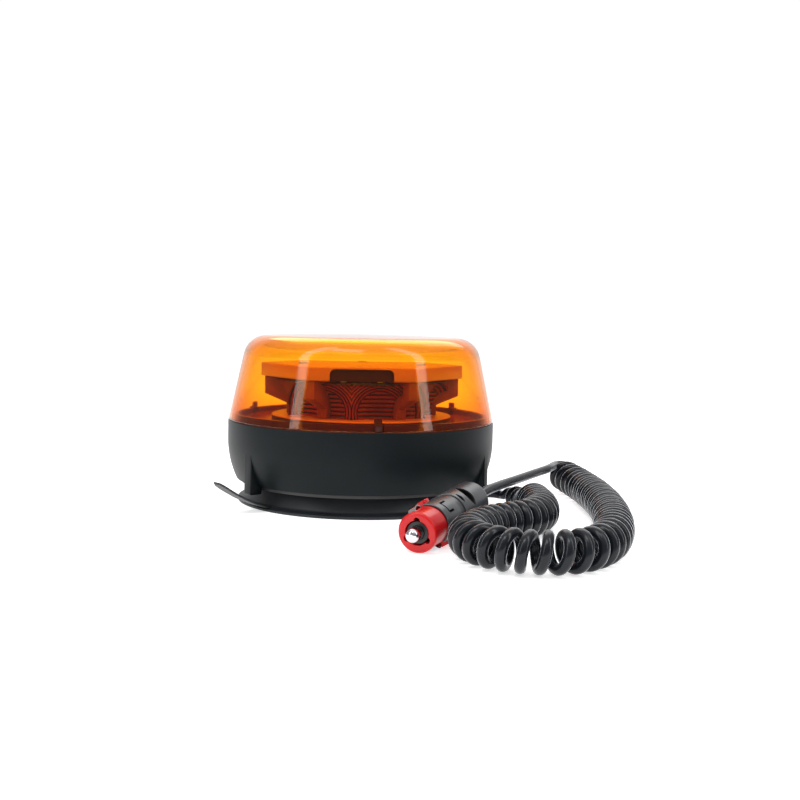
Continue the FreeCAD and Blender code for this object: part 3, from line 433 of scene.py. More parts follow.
def above(made, level, colour):
    """Changes a material to another colour above a height in mm, and returns the mask."""
    nodes, links = made.node_tree.nodes, made.node_tree.links
    shader = nodes["Principled BSDF"]
    split = nodes.new("ShaderNodeSeparateXYZ")
    links.new(nodes["Texture Coordinate"].outputs["Object"], split.inputs["Vector"])
    mask = nodes.new("ShaderNodeMapRange")
    mask.inputs["From Min"].default_value = (level - 0.15) * MM
    mask.inputs["From Max"].default_value = (level + 0.15) * MM
    links.new(split.outputs["Z"], mask.inputs["Value"])
    blend = nodes.new("ShaderNodeMix")
    blend.data_type = "RGBA"
    links.new(mask.outputs["Result"], blend.inputs["Factor"])
    links.new(shader.inputs["Base Color"].links[0].from_socket, blend.inputs["A"])
    blend.inputs["B"].default_value = (*colour, 1)
    links.new(blend.outputs["Result"], shader.inputs["Base Color"])
    return mask.outputs["Result"]


BARREL_R, BARREL_IN_R, BARREL_Z = 85, 82.2, 40
FOOT_R, FOOT_Z = 79.4, 14.2
BELLY_R, BELLY_Z = 83, 24
DECK_Z, DECK_UNDER_Z = 51.5, 48.5
GROOVE_R, GROOVE_IN_R, GROOVE_Z = 84.4, 82.8, 50.3
SPIGOT_ROOT_R, SPIGOT_R, SPIGOT_IN_R, SPIGOT_TOP_Z = 80.7, 80.4, 78.4, 55.5
WIRE_HOLE_R = 9
LEDGE_IN_R, LEDGE_Z, LEDGE_TOP_Z = 71, 16.5, 19
barrel_curve = arc((FOOT_R, FOOT_Z), (BELLY_R, BELLY_Z), (BARREL_R, BARREL_Z))
housing_shape = turned("housing_shell", [
    (FOOT_R, FOOT_Z, 0.3), *barrel_curve, (BARREL_R, BARREL_Z, 0), (BARREL_R, DECK_Z, 0.5),
    (GROOVE_R, DECK_Z, 0), (GROOVE_R, GROOVE_Z, 0), (GROOVE_IN_R, GROOVE_Z, 0), (GROOVE_IN_R, DECK_Z, 0),
    (SPIGOT_ROOT_R, DECK_Z, 0), (SPIGOT_R, SPIGOT_TOP_Z, 0.4), (SPIGOT_IN_R, SPIGOT_TOP_Z, 0.4),
    (SPIGOT_IN_R, DECK_Z, 0.5), (WIRE_HOLE_R, DECK_Z, 0.4), (WIRE_HOLE_R, DECK_UNDER_Z, 0.4),
    (BARREL_IN_R, DECK_UNDER_Z, 1.5), (BARREL_IN_R, BARREL_Z, 0), (80.2, BELLY_Z, 30),
    (78.4, LEDGE_TOP_Z, 0), (LEDGE_IN_R, LEDGE_TOP_Z, 0.3), (LEDGE_IN_R, LEDGE_Z, 0.3),
    (76.8, LEDGE_Z, 0), (76.6, FOOT_Z, 0.5)], steps=256)
TONGUE_HALF, TONGUE_IN_R, TONGUE_ROOT_Z = 2.3, 77.8, 51.4
RIB_ANGLES, RIB_HALF = (-53, 67, 187), 4
RIB_R, RIB_IN_R, RIB_LOW_Z, RIB_TOP_Z = 84.7, 77, 9.5, 46
extras = []
for angle in TONGUE_ANGLES:
    for name, out, top in (("tongue", 79.8, 59.5), ("nib", 83.6, 56.1)):
        low, high = (-TONGUE_HALF, -out, TONGUE_ROOT_Z), (TONGUE_HALF, -TONGUE_IN_R, top)
        extras.append(block(name, low, high, 0.5, turn_to(angle)))
for angle in RIB_ANGLES:
    low, high = (-RIB_HALF, -RIB_R, RIB_LOW_Z), (RIB_HALF, -RIB_IN_R, RIB_TOP_Z)
    extras.append(block("rib", low, high, 0.7, turn_to(angle)))
POST_TOP_Z = 49
SCREW_HOLE_R = 1.7


def screw_post(angle, away, radius, low, hole_top):
    """A post under the deck with a blind screw hole, at an angle and a distance from the axis."""
    outline = [(radius, low, 0), (radius, POST_TOP_Z, 0), (0, POST_TOP_Z, 0), (0, hole_top, 0),
               (SCREW_HOLE_R, hole_top, 0), (SCREW_HOLE_R, low, 0)]
    return turned("post", outline, 24, turn_to(angle) @ Matrix.Translation((0, -away * MM, 0)))


extras += [screw_post(angle, away=65, radius=4.5, low=15, hole_top=26.3) for angle in (33, 123, 213, 303)]
extras += [screw_post(angle, away=44, radius=3.5, low=31.6, hole_top=38) for angle in (20, 140, 260)]
combine(housing_shape, extras, "UNION")
black_satin = material("black_satin", (0.003, 0.006, 0.0073), 0.44, grain=0.1, grain_scale=1400, smudge=0.05,
                       specular=0.15)
settle(housing_shape, "beacon", black_satin, "housing", "housing")
# The deck under the lens is smoother. Its red-brown colour is a painted amber glow, dimmer and darker
# outside the spigot.
DECK_PAINTED_GLOW, DECK_PAINTED_GLOW_DIM = (0.26, 0.045, 0.014), (0.05, 0.012, 0.008)
DECK_ROUGHNESS_SHARE = 0.22
SPIGOT_MIDDLE_R = 79.5
satin_nodes, satin_links = black_satin.node_tree.nodes, black_satin.node_tree.links
satin_shader = satin_nodes["Principled BSDF"]
on_deck = above(black_satin, DECK_Z - 0.25, DECK_PAINTED_GLOW)
flat_spot = satin_nodes.new("ShaderNodeVectorMath")
flat_spot.operation = "MULTIPLY"
flat_spot.inputs[1].default_value = (1, 1, 0)
satin_links.new(satin_nodes["Texture Coordinate"].outputs["Object"], flat_spot.inputs[0])
deck_reach = satin_nodes.new("ShaderNodeVectorMath")
deck_reach.operation = "LENGTH"
satin_links.new(flat_spot.outputs["Vector"], deck_reach.inputs[0])
past_spigot = satin_nodes.new("ShaderNodeMapRange")
past_spigot.inputs["From Min"].default_value = (SPIGOT_MIDDLE_R - 0.3) * MM
past_spigot.inputs["From Max"].default_value = (SPIGOT_MIDDLE_R + 0.3) * MM
satin_links.new(deck_reach.outputs["Value"], past_spigot.inputs["Value"])
# Painted amber glow: bright red-brown inside the spigot, dim outside it.
deck_painted_glow = satin_nodes.new("ShaderNodeMix")
deck_painted_glow.data_type = "RGBA"
deck_painted_glow.inputs["A"].default_value = (*DECK_PAINTED_GLOW, 1)
deck_painted_glow.inputs["B"].default_value = (*DECK_PAINTED_GLOW_DIM, 1)
satin_links.new(past_spigot.outputs["Result"], deck_painted_glow.inputs["Factor"])
deck_blend = satin_shader.inputs["Base Color"].links[0].from_node
satin_links.new(deck_painted_glow.outputs["Result"], deck_blend.inputs["B"])
satin_bump = satin_nodes["Bump"]
for socket, deck_share in ((satin_shader.inputs["Roughness"], DECK_ROUGHNESS_SHARE),
                           (satin_bump.inputs["Strength"], 0)):
    less = satin_nodes.new("ShaderNodeMapRange")
    less.inputs["To Min"].default_value = 1.0
    less.inputs["To Max"].default_value = deck_share
    satin_links.new(on_deck, less.inputs["Value"])
    level = satin_nodes.new("ShaderNodeMath")
    level.operation = "MULTIPLY"
    level.inputs[0].default_value = socket.default_value
    if socket.links:
        satin_links.new(socket.links[0].from_socket, level.inputs[0])
    satin_links.new(less.outputs["Result"], level.inputs[1])
    satin_links.new(level.outputs["Value"], socket)

# Sole
# Black rubber pad with a thin rim, a sloping flank and a collar round the magnet pot; the pull tab curls up.
# Turned outline with a lofted tab fused on; a channel is cut for the cable boot.
SOLE_R, SOLE_RIM_T, SOLE_FLOOR_T = 78.4, 1.6, 2
FLANK_R, FLANK_Z = 74, 2.8
COLLAR_R, COLLAR_IN_R, COLLAR_TOP_Z = 69.4, 61.9, 11.7
sole_shape = turned("sole_pad", [
    (0, 0, 0), (SOLE_R, 0, 0.5), (SOLE_R, SOLE_RIM_T, 0.6), (FLANK_R, FLANK_Z, 3),
    (COLLAR_R, COLLAR_TOP_Z, 0.8), (COLLAR_IN_R, COLLAR_TOP_Z, 0.3), (COLLAR_IN_R, SOLE_FLOOR_T, 0),
    (0, SOLE_FLOOR_T, 0)], steps=256)
TAB_ANGLE = -49
TAB_ROOT_R, TAB_REACH = 73, 37
TAB_LOW_Z, TAB_RISE, TAB_SAG = 0.8, 17.8, 2.2
TAB_HALF, TAB_T, TAB_EDGE = 6, 1.4, 0.4
TAB_ROUND_FROM, TAB_ROUND, TAB_ROUND_SHARE = 0.88, 3.2, 0.98
TAB_STEPS = 16
tab_data = bmesh.new()
sections = []
for i in range(TAB_STEPS + 1):
    t = i / TAB_STEPS
    r = TAB_ROOT_R + TAB_REACH * t
    z = TAB_LOW_Z + TAB_RISE * t - 4 * TAB_SAG * t * (1 - t)
    half = TAB_HALF
    if t >= TAB_ROUND_FROM:
        round_by = (t - TAB_ROUND_FROM) / (1 - TAB_ROUND_FROM) * TAB_ROUND_SHARE
        half -= TAB_ROUND * (1 - math.cos(math.asin(round_by)))
    inner = half - TAB_EDGE
    side = TAB_T - TAB_EDGE
    row = [tab_data.verts.new(Vector((x, -r, z + h)) * MM) for x, h in (
        (-half, TAB_EDGE), (-inner, 0), (inner, 0), (half, TAB_EDGE),
        (half, side), (inner, TAB_T), (-inner, TAB_T), (-half, side))]
    sections.append([tab_data.edges.new(ends) for ends in zip(row, row[1:] + row[:1])])
for near, far in zip(sections, sections[1:]):
    bmesh.ops.bridge_loops(tab_data, edges=near + far)
for end in (sections[0], sections[-1]):
    bmesh.ops.contextual_create(tab_data, geom=end)
bmesh.ops.transform(tab_data, matrix=turn_to(TAB_ANGLE), verts=tab_data.verts)
tab = finish_mesh("tab", tab_data)
combine(sole_shape, [tab], "UNION")
BOOT_STEM_AT = 66.5
stem_spot = BOOT_OUT * BOOT_STEM_AT * MM
outward = BOOT_OUT.to_track_quat("Z", "Y").to_matrix().to_4x4()
boot_level = Matrix.Translation(stem_spot + Vector((0, 0, BOOT_Z * MM))) @ outward
CHANNEL_R, CHANNEL_MOUTH_R = 4.3, 3.6
level_cut = [(0, -4, 0), (CHANNEL_R, -4, 1.5), (CHANNEL_MOUTH_R, 18, 0), (0, 18, 0)]
upright_cut = [(0, 5, 0), (CHANNEL_R, 5, 0), (CHANNEL_R, 16, 0), (0, 16, 0)]
channels = [turned("channel", level_cut, 32, boot_level),
            turned("channel", upright_cut, 32, Matrix.Translation(stem_spot))]
combine(sole_shape, channels, "DIFFERENCE")
black_rubber = material("black_rubber", (0.012, 0.0145, 0.018), 0.48, grain=0.3, grain_scale=500, vary=0.3,
                        specular=0.4)
settle(sole_shape, "beacon", black_rubber, "sole", "magnet_sole")

# Optical module
# Pale moulded disc and hexagonal cover, corner brackets, and six glossy twin reflectors under a white board.
# All moulded plastic; bowls are cut from each bay so that a curved V with fine ribs stands between them.
pale = material("pale_plastic", (0.5, 0.17, 0.09), 0.3, grain=0.12, vary=0.05)
bracket_grey = material("bracket_grey", (0.25, 0.045, 0.022), 0.35, grain=0.2, vary=0.15, specular=0.25)
reflector_gloss = material("reflector_gloss", (0.27, 0.016, 0.008), 0.2, vary=0.3, smudge=0.04,
                           specular=0.15)
BOWL_AT, BOWL_R, BOWL_FORWARD = ((-23, 59), (11, 59)), 20, 9
# Fine ribs: rings round the bowls' middles outside this distance, and level rows inside it.
BOWL_EDGE = 13
RING_RATE, ROW_RATE = 3.6, 2.4
gloss_nodes, gloss_links = reflector_gloss.node_tree.nodes, reflector_gloss.node_tree.links
gloss_shader = gloss_nodes["Principled BSDF"]


def reckon(operation, first, second=None):
    """A maths node in the reflector material; either side is a socket or a number."""
    node = gloss_nodes.new("ShaderNodeMath")
    node.operation = operation
    for socket, value in zip(node.inputs, (first, second)):
        if isinstance(value, bpy.types.NodeSocket):
            gloss_links.new(value, socket)
        elif value is not None:
            socket.default_value = value
    return node.outputs["Value"]


bay_plan = gloss_nodes["Texture Coordinate"].outputs["UV"]
from_bowls = []
for x, z in BOWL_AT:
    away = gloss_nodes.new("ShaderNodeVectorMath")
    away.operation = "DISTANCE"
    away.inputs[1].default_value = (x, z, 0)
    gloss_links.new(bay_plan, away.inputs[0])
    from_bowls.append(away.outputs["Value"])
nearest = reckon("MINIMUM", *from_bowls)
plan_split = gloss_nodes.new("ShaderNodeSeparateXYZ")
gloss_links.new(bay_plan, plan_split.inputs["Vector"])
rings = reckon("SINE", reckon("MULTIPLY", nearest, RING_RATE))
rows = reckon("SINE", reckon("MULTIPLY", plan_split.outputs["Y"], ROW_RATE))
ribs = reckon("ADD", reckon("MULTIPLY", rings, reckon("GREATER_THAN", nearest, BOWL_EDGE)),
              reckon("MULTIPLY", rows, reckon("LESS_THAN", nearest, BOWL_EDGE)))
rib_bump = gloss_nodes.new("ShaderNodeBump")
rib_bump.inputs["Strength"].default_value = 0.7
rib_bump.inputs["Distance"].default_value = 0.3 * MM
gloss_links.new(ribs, rib_bump.inputs["Height"])
gloss_links.new(rib_bump.outputs["Normal"], gloss_shader.inputs["Normal"])
# The ribs' grooves are painted nearly black, a painted shade in the creases.
groove_shade_mask = gloss_nodes.new("ShaderNodeMapRange")
groove_shade_mask.inputs["From Min"].default_value = -0.7
groove_shade_mask.inputs["From Max"].default_value = 0.3
gloss_links.new(ribs, groove_shade_mask.inputs["Value"])
rib_painted_shade = gloss_nodes.new("ShaderNodeMix")
rib_painted_shade.data_type = "RGBA"
rib_painted_shade.inputs["A"].default_value = (0.012, 0.002, 0.0015, 1)
gloss_links.new(groove_shade_mask.outputs["Result"], rib_painted_shade.inputs["Factor"])
gloss_links.new(gloss_shader.inputs["Base Color"].links[0].from_socket, rib_painted_shade.inputs["B"])
gloss_links.new(rib_painted_shade.outputs["Result"], gloss_shader.inputs["Base Color"])
HEX_CORNERS = [30 + 60 * k for k in range(6)]


def prism(name, points, low, high, bevel=0.0, place=None):
    """A flat outline in mm raised from low to high, its edges rounded."""
    mesh_data = bmesh.new()
    base = mesh_data.faces.new([mesh_data.verts.new((x * MM, y * MM, low * MM)) for x, y in points])
    raised = bmesh.ops.extrude_face_region(mesh_data, geom=[base])["geom"]
    top = [part for part in raised if isinstance(part, bmesh.types.BMVert)]
    bmesh.ops.translate(mesh_data, vec=(0, 0, (high - low) * MM), verts=top)
    if bevel:
        bmesh.ops.bevel(mesh_data, geom=mesh_data.edges, offset=bevel * MM, segments=3, profile=0.5,
                        affect="EDGES", material=-1)
    if place:
        bmesh.ops.transform(mesh_data, matrix=place, verts=mesh_data.verts)
    return finish_mesh(name, mesh_data)


def hexagon(radius):
    """Corners of the module's six-sided outline."""
    return [(radius * math.sin(math.radians(a)), -radius * math.cos(math.radians(a))) for a in HEX_CORNERS]


DISC_R, DISC_IN_R, DISC_TOP_Z = 57.5, 9, 55
disc = turned("module_base", [
    (DISC_IN_R, DECK_Z, 0.3), (DISC_R, DECK_Z, 0.3),
    (DISC_R, DISC_TOP_Z, 0.8), (DISC_IN_R, DISC_TOP_Z, 0.5)], 128)
# Only the disc's top face is pale. Its side is painted dark red-brown, a painted shade on the rim.
disc_painted_shade = material("disc_painted_shade", (0.03, 0.009, 0.007), 0.3, grain=0.12, vary=0.15)
above(disc_painted_shade, DISC_TOP_Z - 0.6, (0.6, 0.26, 0.15))
settle(disc, "beacon", disc_painted_shade, "disc", "module_disc")
COVER_LOW_Z, COVER_TOP_Z = 78.6, 87.2
BRACKET = [(40, DISC_TOP_Z), (48, DISC_TOP_Z), (48, 61.5), (62, 67.5), (62, COVER_LOW_Z), (40, COVER_LOW_Z)]
BRACKET_HALF = 3.5
# Stands an outline up: its x points outwards, its y upwards.
STAND = Matrix(((0, 0, 1, 0), (-1, 0, 0, 0), (0, 1, 0, 0), (0, 0, 0, 1)))
brackets, *others = [prism("brackets", BRACKET, -BRACKET_HALF, BRACKET_HALF, 0.5, turn_to(a) @ STAND)
                     for a in HEX_CORNERS]
combine(brackets, others, "UNION")
settle(brackets, "beacon", bracket_grey, "bracket", "module_brackets")
SLANT = math.radians(30)
BAY_GAP = 0.3
INSET = (BRACKET_HALF + BAY_GAP) / math.cos(SLANT)
BAY_FRONT, BAY_REAR, BAY_TOP_Z = 49.99, 32.99, 76.6
bay_half = [math.tan(SLANT) * y - INSET for y in (BAY_FRONT, BAY_REAR)]
for k in range(6):
    plan = [(-bay_half[0], -BAY_FRONT), (bay_half[0], -BAY_FRONT), (bay_half[1], -BAY_REAR),
            (-bay_half[1], -BAY_REAR)]
    bay = prism("reflector_bay_%d" % (k + 1), plan, DISC_TOP_Z, BAY_TOP_Z)
    bowls = []
    for x, z in BOWL_AT:
        bowl_data = bmesh.new()
        bmesh.ops.create_uvsphere(bowl_data, u_segments=96, v_segments=48, radius=BOWL_R * MM)
        middle = Vector((x, -BAY_FRONT - BOWL_FORWARD, z)) * MM
        bmesh.ops.translate(bowl_data, vec=middle, verts=bowl_data.verts)
        bowls.append(finish_mesh("bowl", bowl_data))
    combine(bay, bowls, "DIFFERENCE", crease=25)
    plan_layer = bay.data.uv_layers.new(name="bay_plan")
    for loop in bay.data.loops:
        where = bay.data.vertices[loop.vertex_index].co
        plan_layer.data[loop.index].uv = (where.x / MM, where.z / MM)
    bay.data.transform(turn_to(60 * k))
    settle(bay, "beacon", reflector_gloss, "reflector", "reflector_%d" % (k + 1))
COVER_R, COVER_IN_R, COVER_IN_Z = 65, 62.9, 86
WINDOW_HALF, WINDOW_ROUND, WINDOW_SIDE_Z = 19, 3.5, 82.5
cover = prism("top_cover", hexagon(COVER_R), COVER_LOW_Z, COVER_TOP_Z, 0.9)
arch = [(-WINDOW_HALF, 78), (WINDOW_HALF, 78)]
for side_sign in (1, -1):
    for a in range(0, 91, 15):
        t = math.radians(a if side_sign == 1 else 90 - a)
        across = WINDOW_HALF - WINDOW_ROUND + WINDOW_ROUND * math.cos(t)
        arch.append((side_sign * across, WINDOW_SIDE_Z + WINDOW_ROUND * math.sin(t)))
# Stands an outline up, raised outwards.
FACE_ON = Matrix(((1, 0, 0, 0), (0, 0, -1, 0), (0, 1, 0, 0), (0, 0, 0, 1)))
cover_cuts = [prism("hollow", hexagon(COVER_IN_R), 70, COVER_IN_Z)]
cover_cuts += [prism("window", arch, 52, 66, 0, turn_to(a) @ FACE_ON) for a in (0, 120, 240)]
combine(cover, cover_cuts, "DIFFERENCE")
BOSS_AT, BOSS_R, BOSS_HOLE_R, BOSS_LOW_Z, BOSS_TOP_Z = 42, 3.4, 1.5, 80.2, 86.5
boss = [(BOSS_HOLE_R, BOSS_LOW_Z, 0), (BOSS_R, BOSS_LOW_Z, 0),
        (BOSS_R, BOSS_TOP_Z, 0), (BOSS_HOLE_R, BOSS_TOP_Z, 0)]
bosses = []
for angle in (60, 180, 300):
    spot = turn_to(angle) @ Matrix.Translation((0, -BOSS_AT * MM, 0))
    bosses.append(turned("boss", boss, 24, spot))
combine(cover, bosses, "UNION")
settle(cover, "beacon", pale, "cover", "hex_cover")

# Plug
# Vehicle plug: two black handle halves, turned and cut for a latch and two oval pockets, and a black nose.
# A sprung bright contact sits in the nose; a glossy red adapter ring with two spring clips slips over it.
PLUG = Matrix.Translation(PLUG_FACE * MM) @ Matrix((PLUG_SIDE, PLUG_TOP, PLUG_AHEAD)).transposed().to_4x4()
SHELL_R, SHELL_IN_R, WAIST_R, NOSE_HOLE_R = 11.4, 7.4, 10.7, 6.1
SHELL_FRONT_Z, WAIST_Z, SPLIT_Z, SHELL_END_Z = -16.3, -36, -42.5, -74
FLANGE_R, FLANGE_Z, FLANGE_BACK_Z = 7, -18.9, -21.9
CLIP_ANGLES = (32, 212)
plug_black = material("plug_black", (0.038, 0.041, 0.048), 0.32, grain=0.12, vary=0.15, specular=0.9)
plug_nodes, plug_links = plug_black.node_tree.nodes, plug_black.node_tree.links
# Wherever the shell lies below its outer skin, the colour is painted near-black: in the cuts, pockets, waist
# and end faces. This is painted shade in the recesses.
from_face = plug_nodes.new("ShaderNodeVectorMath")
from_face.operation = "SUBTRACT"
from_face.inputs[1].default_value = PLUG_FACE * MM
plug_links.new(plug_nodes["Texture Coordinate"].outputs["Object"], from_face.inputs[0])
off_axis = plug_nodes.new("ShaderNodeVectorMath")
off_axis.operation = "CROSS_PRODUCT"
off_axis.inputs[1].default_value = PLUG_AHEAD
plug_links.new(from_face.outputs["Vector"], off_axis.inputs[0])
off_length = plug_nodes.new("ShaderNodeVectorMath")
off_length.operation = "LENGTH"
plug_links.new(off_axis.outputs["Vector"], off_length.inputs[0])
recess_shade_mask = plug_nodes.new("ShaderNodeMapRange")
recess_shade_mask.inputs["From Min"].default_value = (SHELL_R - 0.9) * MM
recess_shade_mask.inputs["From Max"].default_value = (SHELL_R - 0.4) * MM
plug_links.new(off_length.outputs["Value"], recess_shade_mask.inputs["Value"])
shade = plug_nodes.new("ShaderNodeMix")
shade.data_type = "RGBA"
shade.inputs["A"].default_value = (0.001, 0.001, 0.001, 1)
plug_links.new(recess_shade_mask.outputs["Result"], shade.inputs["Factor"])
plug_shader = plug_nodes["Principled BSDF"]
plug_links.new(plug_shader.inputs["Base Color"].links[0].from_socket, shade.inputs["B"])
plug_links.new(shade.outputs["Result"], plug_shader.inputs["Base Color"])
nose_black = material("nose_black", (0.006, 0.006, 0.0065), 0.3, grain=0.1, vary=0.15)
red = material("red_gloss", (0.57, 0.008, 0.01), 0.22, vary=0.06, specular=0.35)
chrome = material("bright_chrome", (0.68, 0.68, 0.7), 0.14, metallic=1.0, vary=0.04, smudge=0.04)


def on_plug(angle):
    """The plug's frame turned about its axis; y points away from the axis and z towards the socket."""
    return PLUG @ turn_to(angle)


shell_front = turned("plug_front", [
    (NOSE_HOLE_R, SHELL_FRONT_Z, 0), (SHELL_R, SHELL_FRONT_Z, 0.6), (SHELL_R, WAIST_Z, 0.5),
    (WAIST_R, WAIST_Z, 0), (WAIST_R, SPLIT_Z, 0), (SHELL_IN_R, SPLIT_Z, 0), (SHELL_IN_R, FLANGE_Z, 0),
    (NOSE_HOLE_R, FLANGE_Z, 0)], 128, PLUG)
LATCH_ANGLE, LATCH_HALF, LATCH_ARM = -35.5, 18, 16.8
LATCH_FLOOR_R, LATCH_CUT_R, LATCH_REAR_Z, LATCH_FRONT_Z = 9.9, 11.8, -23.3, -22
LATCH_ARM_HALF, CHANNEL_HALF = 0.65, 2.8
latch = turned("latch", [
    (LATCH_FLOOR_R, LATCH_REAR_Z, 0), (LATCH_CUT_R, LATCH_REAR_Z, 0),
    (LATCH_CUT_R, LATCH_FRONT_Z, 0), (LATCH_FLOOR_R, LATCH_FRONT_Z, 0)], 192, PLUG)
latch_reach = SHELL_R * math.sin(math.radians(LATCH_HALF))
span = block("span", (-latch_reach, 0, -40), (latch_reach, 14, -20), 0, on_plug(LATCH_ANGLE))
combine(latch, [span], "INTERSECT")
latch_cuts = [latch]
for angle in (LATCH_ANGLE - LATCH_ARM, LATCH_ANGLE + LATCH_ARM):
    low, high = (-LATCH_ARM_HALF, 9.8, -28.5), (LATCH_ARM_HALF, 12, -22.4)
    latch_cuts.append(block("arm", low, high, 0, on_plug(angle)))
for angle in CLIP_ANGLES:
    low, high = (-CHANNEL_HALF, 8.4, -28.3), (CHANNEL_HALF, 13.4, 0)
    latch_cuts.append(block("channel", low, high, 0, on_plug(angle)))
combine(shell_front, latch_cuts, "DIFFERENCE")
settle(shell_front, "beacon", plug_black, "plug", "plug_shell_front")
CORD_HOLE_R = CORD_R + 0.1
shell_rear = turned("plug_rear", [
    (SHELL_IN_R, SPLIT_Z, 0), (SHELL_R, SPLIT_Z, 0.6), (SHELL_R, -PLUG_L, 4), (CORD_HOLE_R, -PLUG_L, 0.4),
    (CORD_HOLE_R, SHELL_END_Z, 0), (SHELL_IN_R, SHELL_END_Z, 0)], 128, PLUG)
# Lays an outline on the shell: its y runs along the plug, and it is raised away from the axis.
RADIAL = Matrix(((-1, 0, 0, 0), (0, 0, 1, 0), (0, 1, 0, 0), (0, 0, 0, 1)))
# Two ovals: how far behind the ring's face, angle, length, and how far each side bulges.
POCKETS = [(45.7, -34, 6.8, 1.7, 1.6), (57.5, -35, 14.6, 5.6, 1.8)]
OVAL_STEPS, POCKET_DEPTH = 16, 3.2
pockets = []
for x, angle, length, ahead, behind in POCKETS:
    oval = []
    for bulge, direction in ((ahead, 1), (-behind, -1)):
        size = (length * length / 4 + bulge * bulge) / (2 * abs(bulge))
        for i in range(OVAL_STEPS):
            across = direction * length * (i / OVAL_STEPS - 0.5)
            lift = math.sqrt(size * size - across * across) - (size - abs(bulge))
            oval.append((across, math.copysign(lift, bulge) - x))
    pockets.append(prism("pocket", oval, SHELL_R - POCKET_DEPTH, SHELL_R + 2, 0, on_plug(angle) @ RADIAL))
combine(shell_rear, pockets, "DIFFERENCE")
settle(shell_rear, "beacon", plug_black, "plug", "plug_shell_rear")
NOSE_R, NOSE_BORE_R, TIP_HOLE_R = 6, 4.5, 3.68
NOSE_Z, NOSE_LIP_Z, BORE_END_Z, NOSE_END_Z = -1, -5, -36, -37.5
nose = turned("nose", [
    (TIP_HOLE_R, NOSE_Z, 0.3), (NOSE_R, NOSE_Z, 0.6), (NOSE_R, FLANGE_Z, 0), (FLANGE_R, FLANGE_Z, 0),
    (FLANGE_R, FLANGE_BACK_Z, 0), (NOSE_R, FLANGE_BACK_Z, 0), (NOSE_R, NOSE_END_Z, 0.5), (0, NOSE_END_Z, 0),
    (0, BORE_END_Z, 0), (NOSE_BORE_R, BORE_END_Z, 0), (NOSE_BORE_R, NOSE_LIP_Z, 0),
    (TIP_HOLE_R, NOSE_LIP_Z, 0)], 64, PLUG)
SEAT_R, SEAT_FROM_Z, SEAT_TO_Z = 5.4, -11, -6
seat_cut = [(SEAT_R, SEAT_FROM_Z, 0), (7, SEAT_FROM_Z, 0), (7, SEAT_TO_Z, 0), (SEAT_R, SEAT_TO_Z, 0)]
combine(nose, [turned("seat", seat_cut, 64, PLUG)], "DIFFERENCE")
settle(nose, "beacon", nose_black, "plug", "plug_nose")
TIP_R, TIP_HEAD_R, TIP_Z, TIP_HEAD_Z, TIP_END_Z = 3.6, 4.2, 8, -5.1, -8.1
tip = turned("tip", [
    (0, TIP_Z, 0), (TIP_R, TIP_Z, 2.9), (TIP_R, TIP_HEAD_Z, 0), (TIP_HEAD_R, TIP_HEAD_Z, 0.2),
    (TIP_HEAD_R, TIP_END_Z, 0.2), (0, TIP_END_Z, 0)], 64, PLUG)
settle(tip, "contact", chrome, "bright", "centre_contact")
RING_IN_R, RING_L = 6.3, 16
ring = turned("ring", [
    (RING_IN_R, 0, 0.3), (RING_R, 0, 1.5), (RING_R, -RING_L, 0.5), (RING_IN_R, -RING_L, 0)], 128, PLUG)
# Stands an outline on edge: its x runs along the plug, its y away from the axis.
EDGE_ON = Matrix(((0, 0, -1, 0), (0, 1, 0, 0), (1, 0, 0, 0), (0, 0, 0, 1)))
LUG = [(-26.5, 8.7), (-15.5, 8.7), (-15.5, 10), (-21, 10), (-21, 13), (-26.5, 13)]
LUG_HALF, LOBE_R, CLIP_HALF = 2.5, 1.7, 2.2
SLOT_FLOOR_R, SLOT_TOP_R, SLOT_REAR_Z, SLOT_FRONT_Z = 7.4, 12.5, -14.9, -5.7
lugs = [prism("lug", LUG, -LUG_HALF, LUG_HALF, 0.5, on_plug(angle) @ EDGE_ON) for angle in CLIP_ANGLES]
combine(ring, lugs, "UNION")
ring_cuts = []
for angle in CLIP_ANGLES:
    low, high = (-LUG_HALF, SLOT_FLOOR_R, SLOT_REAR_Z), (LUG_HALF, SLOT_TOP_R, SLOT_FRONT_Z)
    ring_cuts.append(block("slot", low, high, 0, on_plug(angle)))
lobe = [(0, -RING_L - 0.3, 0), (LOBE_R, -RING_L - 0.3, 0), (LOBE_R, 0.3, 0), (0, 0.3, 0)]
for angle in (0, 120, 240):
    lobe_spot = on_plug(angle) @ Matrix.Translation((0, RING_IN_R * MM, 0))
    ring_cuts.append(turned("lobe", lobe, 32, lobe_spot))
combine(ring, ring_cuts, "DIFFERENCE")
settle(ring, "adapter", red, "adapter", "adapter_ring")
# A clip's bow, out along its outer side and back along its inner one, each through start, middle and end.
CLIP_FROM, CLIP_L, CLIP_STEPS = -6, 8.6, 12
CLIP_BOW, CLIP_T = (9.4, 12.4, 10.8), 0.6
bow = []
for depth, direction in ((0, 1), (CLIP_T, -1)):
    start, middle, end = (r - depth for r in CLIP_BOW)
    row = []
    for i in range(CLIP_STEPS + 1):
        t = i / CLIP_STEPS
        lift = start * (1 - t) * (1 - 2 * t) + middle * 4 * t * (1 - t) + end * t * (2 * t - 1)
        row.append((CLIP_FROM - CLIP_L * t, lift))
    bow += row[::direction]
clips = []
for k, angle in enumerate(CLIP_ANGLES, 1):
    clip = prism("clip_%d" % k, bow, -CLIP_HALF, CLIP_HALF, 0, on_plug(angle) @ EDGE_ON)
    clips.append(settle(clip, "clip_%d" % k, chrome, "bright", "side_clip_%d" % k))

